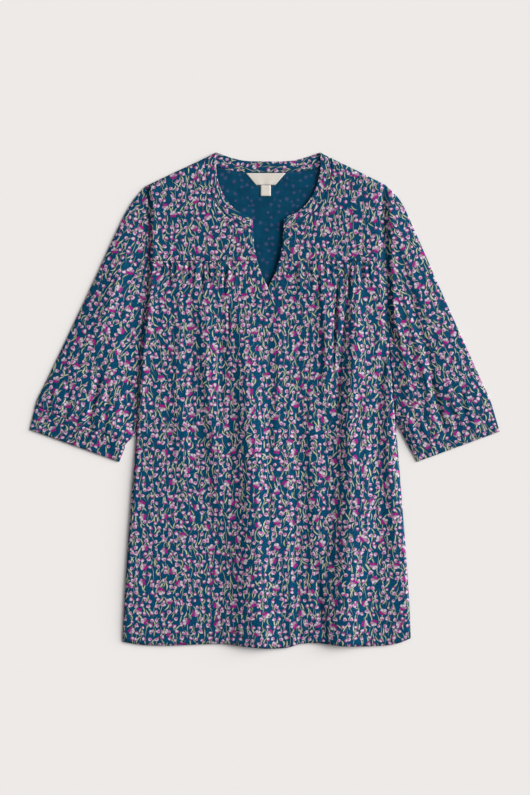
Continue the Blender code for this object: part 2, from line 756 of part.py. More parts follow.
def labels():
    """The labels inside the back of the neck: a wide one with slanting ends, and a size tab below it."""
    foot = CLOTH + SEAM
    wide = [(LABEL_MIDDLE + p.x, p.y) for p in NECK_LABEL]
    plate("neck_label", wide, foot, LABEL, LABEL_CREAM)
    top = NECK_LABEL[1].y - SEAM
    low = top - SIZE_TAB_LENGTH
    left, right = LABEL_MIDDLE - SIZE_TAB_HALF, LABEL_MIDDLE + SIZE_TAB_HALF
    plate("size_tab", [(left, top), (left, low), (right, low), (right, top)], foot, LABEL, LABEL_CREAM)


def main():
    for thing in list(bpy.data.objects):
        bpy.data.objects.remove(thing)
    back_panel()
    front_panel()
    neck_band()
    labels()
    for side in ("left", "right"):
        yoke(side)
        sleeve(side)
        cuff(side)


main()
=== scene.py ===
"""A woman's tunic top of printed jersey, laid out flat on a pale surface and seen from straight above.

The cloth pieces are thin shells on the forms of the solids, with finer gathers, creases and rolled edges. The print is
a small scattered one of flowers, buds and leaves, worked out by the materials on each piece's own flat cloth.
"""

import bisect
import math
from collections import namedtuple

import bmesh
import bpy
from mathutils import Matrix, Vector, noise


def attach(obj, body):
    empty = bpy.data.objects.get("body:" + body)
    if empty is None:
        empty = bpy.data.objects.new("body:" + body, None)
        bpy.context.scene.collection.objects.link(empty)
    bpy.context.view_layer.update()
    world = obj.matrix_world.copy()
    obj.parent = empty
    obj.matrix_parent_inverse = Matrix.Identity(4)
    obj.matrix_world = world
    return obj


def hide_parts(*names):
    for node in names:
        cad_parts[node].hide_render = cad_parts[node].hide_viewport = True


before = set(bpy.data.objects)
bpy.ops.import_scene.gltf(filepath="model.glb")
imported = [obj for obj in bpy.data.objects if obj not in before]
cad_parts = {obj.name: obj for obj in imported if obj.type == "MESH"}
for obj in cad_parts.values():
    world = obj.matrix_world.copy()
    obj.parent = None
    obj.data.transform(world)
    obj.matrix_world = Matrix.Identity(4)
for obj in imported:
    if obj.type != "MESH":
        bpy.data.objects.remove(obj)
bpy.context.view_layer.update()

# Thicknesses of the shells, and the solids' sizes that they repeat
SHELL = 0.0009
CLOTH = 0.0014
DOUBLED = 0.0018
CUFF_SHELL = 0.0013
LABEL_SHELL = 0.0005
BAND_FOLD_RADIUS = 0.0015
BAND_FOLD_REACH = BAND_FOLD_RADIUS + DOUBLED / 2
SEAM = 0.0003
SIDE_GAP = 0.0002
BAND_GAP = 0.00012

# Main places, across and along the garment
NECK_MIDDLE = 0.0053
YOKE_SEAM = 0.2215
UNDERARM = 0.112
LABEL_MIDDLE = 0.0015

# Heights above the surface
SEAM_TOP = CLOTH + SEAM + CLOTH
TUBE_EDGE = 0.0036
SLEEVE_EDGE = 0.0023  # a sleeve's two layers at its folded edges
SLEEVE_INNER_ROUND = 0.0004  # how round it is where it lies along the body
LOWEST_TOP = 0.0021  # a sleeve's upper layer stays above its lower one
BODY_LOFT = 0.0027
YOKE_LOFT = 0.0024
YOKE_BAND_REACH = 0.012
BAND_LOFT = 0.0016
SLEEVE_LOFT = 0.0027
EDGE_ROLL = 0.008
HEM_ROLL = 0.060
EDGE_DIP = 0.0012  # how far a shell's edge rolls below the solid's
SIDE_RIDGE = 0.0020  # how far the edge that faces away from the light stands up beside a seam

# Gathers under each yoke
GATHERS = 12
GATHER_START = 0.045
GATHER_PITCH = 0.0103
GATHER_HEIGHT = 0.0032
GATHER_LENGTH = 0.085
GATHER_FAN = 0.10
FINE_GATHER_PITCH = 0.0041
FINE_GATHER_HEIGHT = 0.0010
FINE_GATHER_LENGTH = 0.022

# Gathers above each cuff
CUFF_GATHERS = 7
CUFF_GATHER_HEIGHT = 0.0022
CUFF_GATHER_LENGTH = 0.26

# The body's outline: its two edges at each height
Side = namedtuple("Side", "y left right")
BODY_SIDES = (
    Side(0.3420, -0.1905, 0.1925),
    Side(0.3200, -0.1865, 0.1900),
    Side(0.2215, -0.1868, 0.1940),
    Side(0.1740, -0.1895, 0.1968),
    Side(0.1120, -0.1962, 0.1985),
    Side(0.0240, -0.2018, 0.2045),
    Side(-0.0800, -0.2072, 0.2130),
    Side(-0.1600, -0.2138, 0.2192),
    Side(-0.2400, -0.2195, 0.2255),
    Side(-0.3200, -0.2245, 0.2308),
    Side(-0.3980, -0.2280, 0.2345),
)

# How the body rises from each side: softly above one height, beside its sleeve, and crisply below another
SideForm = namedtuple("SideForm", "crisp_below soft_above soft_reach crisp_reach")
SIDE_FORMS = {
    "left": SideForm(0.095, 0.125, 0.0085, 0.0050),
    "right": SideForm(0.040, 0.105, 0.014, 0.0060),
}

# The hem's line
Place = namedtuple("Place", "x y")
HEM_LINE = (
    Place(-0.2280, -0.3862),
    Place(-0.1940, -0.3915),
    Place(-0.1500, -0.3926),
    Place(-0.0970, -0.3904),
    Place(-0.0650, -0.3900),
    Place(-0.0330, -0.3936),
    Place(0.0070, -0.3968),
    Place(0.0360, -0.3958),
    Place(0.0570, -0.3898),
    Place(0.0880, -0.3885),
    Place(0.1200, -0.3924),
    Place(0.1640, -0.3936),
    Place(0.2070, -0.3904),
    Place(0.2345, -0.3806),
)

# The shoulder lines, from the neck band to the sleeve
SHOULDERS = {
    "left": (Place(-0.0942, 0.3872), Place(-0.1356, 0.3680), Place(-0.1905, 0.3420)),
    "right": (Place(0.1048, 0.3872), Place(0.1480, 0.3665), Place(0.1925, 0.3440)),
}

# The neck band, by distance from the neck's middle: its open edge and the edge sewn to the garment
Band = namedtuple("Band", "open_x open_y seam_x seam_y")
BAND_FRONT = (
    Band(0.0826, 0.3962, 0.0995, 0.3872),
    Band(0.0832, 0.3760, 0.1012, 0.3712),
    Band(0.0815, 0.3580, 0.0985, 0.3520),
    Band(0.0775, 0.3420, 0.0935, 0.3335),
    Band(0.0695, 0.3250, 0.0835, 0.3135),
    Band(0.0570, 0.3090, 0.0675, 0.2945),
    Band(0.0420, 0.2980, 0.0485, 0.2812),
    Band(0.0300, 0.2925, 0.0335, 0.2750),
    Band(0.0246, 0.2870, 0.0243, 0.2690),
)
BAND_BACK = (
    Band(0.0826, 0.3962, 0.0995, 0.3872),
    Band(0.0740, 0.3928, 0.0870, 0.3765),
    Band(0.0650, 0.3896, 0.0750, 0.3705),
    Band(0.0520, 0.3856, 0.0590, 0.3670),
    Band(0.0380, 0.3828, 0.0420, 0.3650),
    Band(0.0200, 0.3818, 0.0210, 0.3636),
    Band(0.0000, 0.3816, 0.0000, 0.3632),
)

# The notch below the band: its half width at each height
Notch = namedtuple("Notch", "y half")
NOTCH = (
    Notch(0.2690, 0.0243),
    Notch(0.2500, 0.0225),
    Notch(0.2310, 0.0195),
    Notch(0.2035, 0.0112),
    Notch(0.1792, 0.0),
)

# Each sleeve's outer edge from the shoulder to the cuff, and where its inner edge leaves the body
SLEEVE_OUTER = {
    "left": (
        Place(-0.1924, 0.3420),
        Place(-0.2124, 0.3162),
        Place(-0.2284, 0.2880),
        Place(-0.2876, 0.1600),
        Place(-0.3484, 0.0320),
        Place(-0.3640, 0.0000),
        Place(-0.3668, -0.0096),
    ),
    "right": (
        Place(0.1944, 0.3432),
        Place(0.2160, 0.3200),
        Place(0.2300, 0.2930),
        Place(0.2884, 0.1600),
        Place(0.3460, 0.0320),
        Place(0.3604, 0.0000),
        Place(0.3652, -0.0144),
    ),
}
SLEEVE_LEAVES_BODY = {"left": -0.0540, "right": -0.0330}
CUFF_SEAM_INNER = {"left": Place(-0.2212, -0.0696), "right": Place(0.2292, -0.0728)}
CUFF_END = {
    "left": (Place(-0.3757, -0.0472), Place(-0.2324, -0.0987)),
    "right": (Place(0.3757, -0.0502), Place(0.2439, -0.0987)),
}

# The largest folds of the front: a crest from its top to its foot, how far it slopes off to each side, and how much
# wider its left slope is at the foot
Fold = namedtuple("Fold", "x_top y_top x_foot y_foot height left right spread")
FRONT_FOLDS = (
    Fold(-0.1390, 0.1900, -0.1340, -0.1700, 0.0018, 0.007, 0.009, 0.3),
    Fold(-0.1260, 0.0700, -0.1230, -0.1500, 0.0015, 0.009, 0.005, 0.0),
    Fold(-0.1010, 0.1900, -0.0720, -0.2100, 0.0042, 0.009, 0.016, 0.4),
    Fold(-0.0560, 0.2000, -0.0640, -0.0600, 0.0016, 0.006, 0.008, 0.0),
    Fold(-0.0335, 0.1500, -0.0028, -0.5200, 0.0104, 0.018, 0.027, 1.5),
    Fold(0.0190, 0.1500, 0.0205, -0.3400, 0.0036, 0.008, 0.018, 0.2),
    Fold(0.0395, 0.0400, 0.0415, -0.4600, 0.0022, 0.010, 0.0055, 0.0),
    Fold(0.0790, 0.0500, 0.0770, -0.3400, 0.0030, 0.009, 0.015, 0.3),
    Fold(0.0950, 0.2150, 0.0960, -0.0200, 0.0038, 0.007, 0.012, 0.0),
    Fold(0.1180, 0.2150, 0.1110, 0.0300, 0.0026, 0.004, 0.009, 0.0),
    Fold(0.1420, 0.2150, 0.1370, -0.1300, 0.0066, 0.013, 0.015, 0.2),
    Fold(0.1400, -0.0300, 0.1202, -0.5200, 0.0096, 0.018, 0.028, 1.0),
    Fold(0.1620, 0.0800, 0.1660, -0.2700, 0.0019, 0.010, 0.0055, 0.0),
    Fold(0.1990, 0.0700, 0.2040, -0.2600, 0.0040, 0.010, 0.012, 0.0),
)

# The largest folds of each sleeve, by shares of its width from the outer edge and of its length from the armhole
SleeveFold = namedtuple("SleeveFold", "s_top t_top s_foot t_foot height width")
SLEEVE_FOLDS = {
    "left": (
        SleeveFold(0.22, 0.02, 0.30, 0.62, 0.0020, 0.012),
        SleeveFold(0.55, 0.05, 0.52, 0.70, 0.0016, 0.014),
        SleeveFold(0.80, 0.30, 0.76, 0.98, 0.0022, 0.012),
    ),
    "right": (
        SleeveFold(0.24, 0.02, 0.30, 0.55, 0.0018, 0.012),
        SleeveFold(0.50, 0.25, 0.56, 0.98, 0.0034, 0.010),
        SleeveFold(0.74, 0.04, 0.80, 0.80, 0.0022, 0.012),
    ),
}

# Sharp creases: narrow grooves from a top to a foot, negative depths are low narrow ridges
Crease = namedtuple("Crease", "x_top y_top x_foot y_foot depth width")
CREASES = (
    Crease(-0.1520, 0.2225, -0.1520, 0.1830, 0.0034, 0.0019),
    Crease(-0.0985, 0.2225, -0.1005, 0.1620, 0.0036, 0.0022),
    Crease(-0.0892, 0.2225, -0.0890, 0.1840, 0.0030, 0.0017),
    Crease(-0.0642, 0.2200, -0.0640, 0.1680, 0.0038, 0.0020),
    Crease(-0.1215, 0.2225, -0.1220, 0.1900, 0.0026, 0.0018),
    Crease(-0.0440, 0.2225, -0.0440, 0.1850, 0.0026, 0.0018),
    Crease(-0.0582, 0.1520, -0.0582, 0.1040, 0.0026, 0.0019),
    Crease(0.1172, 0.2100, 0.1085, 0.0400, 0.0046, 0.0018),
    Crease(0.1362, 0.2200, 0.1310, 0.1480, 0.0040, 0.0019),
    Crease(0.1310, 0.1600, 0.1200, 0.0500, 0.0022, 0.0026),
    Crease(0.0870, 0.2225, 0.0860, 0.1650, 0.0030, 0.0019),
    Crease(0.0640, 0.2225, 0.0640, 0.1880, 0.0026, 0.0018),
    Crease(0.1560, 0.2225, 0.1560, 0.1860, 0.0026, 0.0018),
    Crease(0.1200, 0.0650, 0.1130, -0.0250, 0.0030, 0.0030),
    Crease(0.0790, -0.2500, 0.0960, -0.3900, 0.0030, 0.0050),
    Crease(0.1960, 0.1300, 0.1800, -0.0150, 0.0024, 0.0050),
    Crease(-0.2630, 0.0420, -0.2830, -0.0420, 0.0050, 0.0034),
    Crease(-0.2500, 0.0200, -0.2560, -0.0560, 0.0022, 0.0030),
    Crease(-0.3370, 0.0250, -0.3510, -0.0200, 0.0040, 0.0034),
    Crease(-0.3120, 0.0300, -0.3200, -0.0260, 0.0020, 0.0030),
    Crease(0.2620, 0.0450, 0.2850, -0.0420, 0.0050, 0.0036),
    Crease(0.2480, 0.1150, 0.2790, -0.0150, 0.0034, 0.0060),
    Crease(0.2320, 0.1700, 0.2480, 0.0700, 0.0020, 0.0060),
    Crease(0.3130, 0.0250, 0.3210, -0.0260, 0.0026, 0.0030),
    Crease(0.3420, 0.0200, 0.3490, -0.0180, 0.0022, 0.0030),
)

# The woven labels at the back of the neck
NECK_LABEL = (
    Place(-0.0318, 0.3628),
    Place(-0.0152, 0.3437),
    Place(0.0152, 0.3437),
    Place(0.0318, 0.3628),
)
SIZE_TAB_HALF = 0.0081
SIZE_TAB_LENGTH = 0.0172

# How finely the shells are divided
SIDE_COLUMNS, GATHER_COLUMNS, CENTRE_COLUMNS = 12, 112, 18
GATHER_ROWS, FRONT_ROWS = 42, 96
GATHER_PART = 0.15  # share of the front's height that the gathers take
SLEEVE_RINGS = 96
SLEEVE_TOP_STEPS, SLEEVE_UNDER_STEPS = 70, 24
EDGE_STEPS = 6
CUFF_RINGS = 12
YOKE_COLUMNS, YOKE_NECK_ROWS, YOKE_NOTCH_ROWS = 60, 56, 16
BACK_COLUMNS, BACK_ROWS = 120, 90
BAND_FRONT_STEPS, BAND_FOLD_STEPS, BAND_BACK_STEPS = 56, 8, 48
BAND_AROUND = 16

# Stitches
STITCH_LENGTH, STITCH_PITCH, STITCH_RADIUS = 0.0024, 0.0032, 0.00022
HEM_DEPTH = 0.020
HEM_NEEDLES = (0.0, 0.0045)

# The camera and the light
CAMERA_MIDDLE = Vector((0.0004, 0.0040, 2.5))
CAMERA_LENS = 70.75
SUN_FROM = Vector((0.88, 0.30, 0.46))
SUN_STRENGTH = 5.35
SUN_SOFTNESS = math.radians(44)
SKY_STRENGTH = 0.32


def smooth_value(knots, values, at):
    """The value at a place, on a cubic curve through the values at rising knots."""
    if at <= knots[0]:
        return values[0]
    if at >= knots[-1]:
        return values[-1]
    i = bisect.bisect_right(knots, at) - 1
    step = knots[i + 1] - knots[i]
    t = (at - knots[i]) / step

    def rise(j):
        low, high = max(j - 1, 0), min(j + 1, len(knots) - 1)
        return step * (values[high] - values[low]) / (knots[high] - knots[low])

    a, b = values[i], values[i + 1]
    return (
        a * (1 + 2 * t) * (1 - t) ** 2
        + b * t * t * (3 - 2 * t)
        + rise(i) * t * (1 - t) ** 2
        - rise(i + 1) * t * t * (1 - t)
    )


def read(rows, key, column, at):
    """A column of a table, read smoothly at a value of its key column."""
    pairs = sorted((getattr(row, key), getattr(row, column)) for row in rows)
    return smooth_value([p[0] for p in pairs], [p[1] for p in pairs], at)


def along(points, share):
    """The place at a share of the way along a smooth line through points."""
    knots = [0.0]
    for a, b in zip(points, points[1:]):
        knots.append(knots[-1] + math.dist(a, b))
    at = share * knots[-1]
    return Vector([smooth_value(knots, [p[k] for p in points], at) for k in (0, 1)])


def shares(count):
    return [i / count for i in range(count + 1)]


def rise_from(distance, reach):
    """From 0 at an edge to 1 at a distance of reach, steep at first, as cloth rolls up from a seam."""
    d = min(max(distance / reach, 0.0), 1.0)
    return math.sin(math.pi / 2 * d) ** 0.8


def ease(value, low, high):
    """From 0 at low to 1 at high, level at both ends."""
    d = min(max((value - low) / (high - low), 0.0), 1.0)
    return d * d * (3 - 2 * d)


def bump(offset, left, right):
    """A crest of height 1 that slopes off to the left and to the right."""
    return math.exp(-((offset / (left if offset < 0 else right)) ** 2))


def uneven(k):
    """A number from 0 to 1 that follows no pattern as k counts up."""
    return (k * 0.6180339 + 0.37) % 1.0


def filled(top, foot, left, right):
    """The place at shares (s, t) of a patch that fills four edges: top and foot run with s, left and right with t."""

    def place(s, t):
        corners = (
            (1 - t) * ((1 - s) * top(0) + s * top(1))
            + t * ((1 - s) * foot(0) + s * foot(1))
        )
        return (1 - t) * top(s) + t * foot(s) + (1 - s) * left(t) + s * right(t) - corners

    return place


def body_edge(side, y):
    return read(BODY_SIDES, "y", side, y)


def hem_height(x):
    return read(HEM_LINE, "x", "y", x)


def shoulder_height(x):
    """The height of the shoulder line across the garment, taken as level over the neck."""
    line = SHOULDERS["left" if x < NECK_MIDDLE else "right"]
    return read(line, "x", "y", x)


def notch_half(y):
    return read(NOTCH, "y", "half", y)


def gather_height(x, y):
    """How far the gathers below the yokes raise the front, with finer ones close to the seam."""
    below = YOKE_SEAM - y
    side = -1 if x < NECK_MIDDLE else 1
    total = 0.0
    for k in range(GATHERS):
        reach = GATHER_LENGTH * (0.35 + 0.65 * uneven(3 * k + side))
        if below > reach:
            continue
        start = GATHER_START + GATHER_PITCH * (k + 0.5 + 0.35 * (uneven(k + 5 * side) - 0.5))
        crest = NECK_MIDDLE + side * (start + GATHER_FAN * below * start / 0.17)
        swell = 0.45 + 0.55 * min(below / 0.010, 1.0)
        fade = 0.5 + 0.5 * math.cos(math.pi * max(below, 0.0) / reach)
        height = GATHER_HEIGHT * (0.6 + 0.4 * uneven(7 * k + side))
        total += height * swell * fade * bump(x - crest, 0.0029, 0.0034)
    from_middle = abs(x - NECK_MIDDLE)
    gathered = GATHER_START - 0.004 < from_middle < GATHER_START + GATHERS * GATHER_PITCH + 0.004
    if gathered and below < FINE_GATHER_LENGTH:
        wave = 0.5 + 0.5 * math.sin(2 * math.pi * from_middle / FINE_GATHER_PITCH + 3 * math.sin(55 * x))
        total += FINE_GATHER_HEIGHT * wave * (1 - max(below, 0.0) / FINE_GATHER_LENGTH) ** 1.5
    return total


def fold_height(x, y):
    """How far the front's largest folds raise it."""
    total = 0.0
    for fold in FRONT_FOLDS:
        share = (fold.y_top - y) / (fold.y_top - fold.y_foot)
        if not 0 < share < 1:
            continue
        lean = fold.x_top + (fold.x_foot - fold.x_top) * share
        crest = lean + 0.003 * math.sin(7 * share + 40 * fold.x_top)
        strength = math.sin(math.pi * share) ** 0.6
        total += fold.height * strength * bump(x - crest, fold.left * (1 + fold.spread * share), fold.right)
    return total


def crease_depth(x, y):
    """How deep the sharp creases are at a place."""
    total = 0.0
    for crease in CREASES:
        top, foot = Vector((crease.x_top, crease.y_top)), Vector((crease.x_foot, crease.y_foot))
        run = foot - top
        offset = Vector((x, y)) - top
        share = offset.dot(run) / run.length_squared
        if not 0 < share < 1:
            continue
        aside = (offset - run * share).length
        if aside > 4 * crease.width:
            continue
        total += crease.depth * math.sin(math.pi * share) ** 0.5 * bump(aside, crease.width, crease.width)
    return total


def ripple(x, y, size, height):
    """Soft unevenness of cloth that has been smoothed out by hand."""
    return height * noise.noise(Vector((x / size, y / (1.8 * size), 0.5)))


def outside(side, x, y):
    """How far a place lies out from the body's edge on one side."""
    return body_edge("left", y) - x if side == "left" else x - body_edge("right", y)


def side_rise(x, y):
    """From 0 at the body's sides to 1 where it lies level."""
    rise = 1.0
    for side, form in SIDE_FORMS.items():
        inward = -outside(side, x, y)
        softness = ease(y, form.crisp_below, form.soft_above)
        soft, crisp = ease(inward, 0.0, form.soft_reach), rise_from(inward, form.crisp_reach)
        rise *= crisp + (soft - crisp) * softness
    return rise


def left_ridge(x, y):
    """How far the body stands up along its left side, down to where the sleeve leaves it."""
    beside_sleeve = ease(y, SLEEVE_LEAVES_BODY["left"] - 0.02, UNDERARM - 0.10)
    return SIDE_RIDGE * beside_sleeve * bump(-outside("left", x, y) - 0.006, 0.006, 0.010)


def front_top(x, y):
    """The height of the front panel's upper face."""
    to_hem = rise_from(y - hem_height(x) + 0.012, HEM_ROLL)
    edge_height = SEAM_TOP + (TUBE_EDGE - SEAM_TOP) * ease(y, UNDERARM - 0.01, UNDERARM + 0.01)
    shape = BODY_LOFT * to_hem + fold_height(x, y) + gather_height(x, y)
    shape += ripple(x, y, 0.030, 0.0004) - crease_depth(x, y)
    shape += left_ridge(x, y)
    hem_edge = 0.0008 * (1 - rise_from(y - hem_height(x), 0.004))
    return edge_height - EDGE_DIP + side_rise(x, y) * (EDGE_DIP + shape) - hem_edge


def yoke_top(x, y):
    """The height of a yoke's upper face, which falls to the shoulder, the armhole and the seam with the front."""
    level = rise_from(shoulder_height(x) - y, EDGE_ROLL)
    loft = YOKE_LOFT + 0.0008 * rise_from(YOKE_SEAM + 0.03 - y, 0.03) + ripple(x, y, 0.024, 0.0005)
    loft += left_ridge(x, y)
    lowest = SEAM_TOP - EDGE_DIP + (TUBE_EDGE - SEAM_TOP) * level
    seam_roll = 0.0003 * (1 - rise_from(y - YOKE_SEAM, 0.0025))
    return lowest + side_rise(x, y) * level * (EDGE_DIP + loft) - seam_roll


def add_grid(bm, columns, rows, place, flat):
    """Adds a grid of faces, shaped by place(i, j) and printed by flat(i, j) on the piece's own cloth."""
    made = bmesh.ops.create_grid(bm, x_segments=columns, y_segments=rows, size=0.5)["verts"]
    steps = {v: (round((v.co.x + 0.5) * columns), round((0.5 - v.co.y) * rows)) for v in made}
    at = {}
    for v, step in steps.items():
        v.co = at[step] = Vector(place(*step))
    layer = bm.loops.layers.uv.verify()
    spots = flat(at)
    for face in {f for v in made for f in v.link_faces}:
        for loop in face.loops:
            loop[layer].uv = spots[steps[loop.vert]]


def unrolled(columns, middle, shift=(0.0, 0.0)):
    """Lays a shaped grid on the flat cloth: across by the cloth's length from a middle column, and down as it lies."""

    def flat(at):
        spots = {}
        for (i, j), start in at.items():
            if i != middle:
                continue
            spots[i, j] = (start.x + shift[0], start.y + shift[1])
            for direction in (-1, 1):
                length, k = start.x, middle
                while 0 <= k + direction <= columns:
                    length += direction * (at[k + direction, j] - at[k, j]).length
                    k += direction
                    spots[k, j] = (length + shift[0], at[k, j].y + shift[1])
        return spots

    return flat


def face_up(bm):
    """Turns the faces so that the highest one faces up."""
    bm.normal_update()
    highest = max(bm.faces, key=lambda face: face.calc_center_median().z)
    if highest.normal.z < 0:
        bmesh.ops.reverse_faces(bm, faces=bm.faces[:])


def finish_piece(name, bm, materials, nodes):
    """Makes an object of a shaped mesh, which rides on the frame in place of its solids."""
    bmesh.ops.remove_doubles(bm, verts=bm.verts[:], dist=1e-6)
    face_up(bm)
    mesh = bpy.data.meshes.new(name)
    bm.to_mesh(mesh)
    bm.free()
    mesh.shade_smooth()
    if mesh.uv_layers:
        mesh.uv_layers[0].name = "cloth"
    for material in materials:
        mesh.materials.append(material)
    piece = bpy.data.objects.new(name, mesh)
    bpy.context.scene.collection.objects.link(piece)
    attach(piece, "root")
    if nodes:
        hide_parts(*nodes)
    return piece


def thicken(piece, thickness):
    """Gives a sheet its thickness below its upper face, with its last material on the underside."""
    solid = piece.modifiers.new("cloth thickness", "SOLIDIFY")
    solid.thickness = thickness
    solid.offset = -1.0
    solid.material_offset = len(piece.data.materials) - 1


def front_share(j):
    """The share of the front's height at a row, close together in the gathers."""
    if j <= GATHER_ROWS:
        return GATHER_PART * j / GATHER_ROWS
    return GATHER_PART + (1 - GATHER_PART) * (j - GATHER_ROWS) / FRONT_ROWS


def front_across(i):
    """The share of the way from a side seam to the middle at a column, close together in the gathers."""
    to_gathers, to_centre = 0.12, 0.78
    if i <= SIDE_COLUMNS:
        return to_gathers * (i / SIDE_COLUMNS) ** 1.4
    i -= SIDE_COLUMNS
    if i <= GATHER_COLUMNS:
        return to_gathers + (to_centre - to_gathers) * i / GATHER_COLUMNS
    return to_centre + (1 - to_centre) * (i - GATHER_COLUMNS) / CENTRE_COLUMNS


def front_place(side, across, down):
    """A place on one half of the front panel."""
    sign = -1 if side == "left" else 1
    top = YOKE_SEAM
    y = top
    for _ in range(3):  # the hem's height and the sides' places depend on each other
        inner = NECK_MIDDLE + sign * notch_half(y)
        outer = body_edge(side, y)
        x = outer + (inner - outer) * across
        y = top + (hem_height(x) - top) * down
    return x, y, front_top(x, y)


def make_front(print_side, reverse_side):
    """The front panel: two halves that meet in the middle below the notch."""
    columns = SIDE_COLUMNS + GATHER_COLUMNS + CENTRE_COLUMNS
    rows = GATHER_ROWS + FRONT_ROWS
    bm = bmesh.new()
    add_grid(
        bm,
        columns,
        rows,
        lambda i, j: front_place("left", front_across(i), front_share(j)),
        unrolled(columns, columns),
    )
    add_grid(
        bm,
        columns,
        rows,
        lambda i, j: front_place("right", front_across(columns - i), front_share(j)),
        unrolled(columns, 0),
    )
    front = finish_piece("front", bm, (print_side, reverse_side), ["front_panel"])
    thicken(front, SHELL)
    return front


def band_edges(table, share):
    """The band's open edge and its sewn edge, at a share of the way along a half of it."""
    opened = [(row.open_x, row.open_y) for row in table]
    sewn = [(row.seam_x, row.seam_y) for row in table]
    return along(opened, share), along(sewn, share)


def away_from_fold(opened, sewn):
    """The level direction that looks out of the garment where the band folds over."""
    across = (sewn - opened).normalized()
    return Vector((-across.y, across.x))


def beside_band(table, share, sign, inward=0.0):
    """The edge of the cloth that is sewn to the band, on the right for a sign of 1 and on the left for -1."""
    opened, sewn = band_edges(table, share)
    level = sewn + (sewn - opened).normalized() * BAND_GAP - away_from_fold(opened, sewn) * inward
    return Vector((NECK_MIDDLE + sign * level.x, level.y))


def band_top(share):
    """The height of the front band's upper face, at a share of the way from the shoulder to the notch."""
    return DOUBLED + 2 * BAND_FOLD_RADIUS + BAND_LOFT * math.sin(math.pi / 2 * share)


def yoke_place(side):
    """The places of a yoke's shares: across from the neck to the armhole, and down from the shoulder."""
    sign = -1 if side == "left" else 1
    shoulder = SHOULDERS[side]
    seam_y = YOKE_SEAM
    corner = beside_band(BAND_FRONT, 1, sign)
    notch_line = [corner] + [(NECK_MIDDLE + sign * row.half, row.y) for row in NOTCH if seam_y < row.y < 0.26]
    notch_line.append((NECK_MIDDLE + sign * notch_half(seam_y), seam_y))
    neck_part = 0.72

    def shoulder_edge(s):
        low, high = beside_band(BAND_FRONT, 0, sign), (body_edge(side, shoulder[-1].y), shoulder[-1].y)
        return along([low] + [(p.x, p.y) for p in shoulder[1:-1]] + [high], s)

    def armhole_edge(t):
        y = shoulder[-1].y + (seam_y - shoulder[-1].y) * t
        return Vector((body_edge(side, y), y))

    def foot_edge(s):
        return Vector(notch_line[-1]).lerp(Vector((body_edge(side, seam_y), seam_y)), s)

    def neck_edge(t):
        if t < neck_part:
            return beside_band(BAND_FRONT, t / neck_part, sign)
        return along(notch_line, (t - neck_part) / (1 - neck_part))

    place = filled(shoulder_edge, foot_edge, neck_edge, armhole_edge)

    def at(i, j):
        if j <= YOKE_NECK_ROWS:
            t = neck_part * j / YOKE_NECK_ROWS
        else:
            t = neck_part + (1 - neck_part) * (j - YOKE_NECK_ROWS) / YOKE_NOTCH_ROWS
        x, y = place(i / YOKE_COLUMNS, t)
        width = (place(1, t) - place(0, t)).length
        beside = ease(i / YOKE_COLUMNS * width, YOKE_BAND_REACH, 0.0) * ease(t, neck_part + 0.04, neck_part - 0.04)
        height = yoke_top(x, y)
        return x, y, height + (band_top(min(t / neck_part, 1.0)) - height) * beside

    return at


def make_yoke(side, print_side, reverse_side):
    """One front yoke."""
    place = yoke_place(side)
    shift = (0.37, 0.11) if side == "left" else (0.91, -0.23)
    bm = bmesh.new()
    add_grid(
        bm,
        YOKE_COLUMNS,
        YOKE_NECK_ROWS + YOKE_NOTCH_ROWS,
        place,
        lambda at: {step: (p.x + shift[0], p.y + shift[1]) for step, p in at.items()},
    )
    yoke = finish_piece("front_yoke_" + side, bm, (print_side, reverse_side), ["yoke_" + side])
    thicken(yoke, SHELL)
    return yoke


def back_top_line(s):
    """The back panel's upper edge, from the left armhole over the shoulders and round the neck."""
    left = [(SHOULDERS["left"][k].x, SHOULDERS["left"][k].y) for k in (2, 1)]
    left = [(body_edge("left", left[0][1]), left[0][1])] + left[1:]
    right = [(SHOULDERS["right"][k].x, SHOULDERS["right"][k].y) for k in (1, 2)]
    right = right[:1] + [(body_edge("right", right[1][1]), right[1][1])]
    left.append(beside_band(BAND_BACK, 0, -1))
    right.insert(0, beside_band(BAND_BACK, 0, 1))
    shoulder_part = 0.26
    if s <= shoulder_part:
        return along(left, s / shoulder_part)
    if s >= 1 - shoulder_part:
        return along(right, (s - 1 + shoulder_part) / shoulder_part)
    across = (s - shoulder_part) / (1 - 2 * shoulder_part)
    if across <= 0.5:
        return beside_band(BAND_BACK, 2 * across, -1, BAND_FOLD_REACH * (1 - min(across * 20, 1)))
    return beside_band(BAND_BACK, 2 - 2 * across, 1, BAND_FOLD_REACH * (1 - min((1 - across) * 20, 1)))


def make_back(print_side, reverse_side):
    """The back panel, flat on the surface, with the inside of its cloth up."""

    def foot(s):
        x = HEM_LINE[0].x + (HEM_LINE[-1].x - HEM_LINE[0].x) * s
        return Vector((x, hem_height(x)))

    def edge(side, hem_end):
        top = SHOULDERS[side][-1].y

        def at(t):
            y = top + (hem_end - top) * t
            return Vector((body_edge(side, y), y))

        return at

    place = filled(back_top_line, foot, edge("left", HEM_LINE[0].y), edge("right", HEM_LINE[-1].y))

    def at(i, j):
        x, y = place(i / BACK_COLUMNS, (j / BACK_ROWS) ** 1.3)
        return x, y, SHELL

    bm = bmesh.new()
    add_grid(
        bm,
        BACK_COLUMNS,
        BACK_ROWS,
        at,
        lambda at: {step: (p.x - 0.53, p.y + 0.41) for step, p in at.items()},
    )
    back = finish_piece("back", bm, (reverse_side, print_side), ["back_panel"])
    thicken(back, SHELL)
    return back


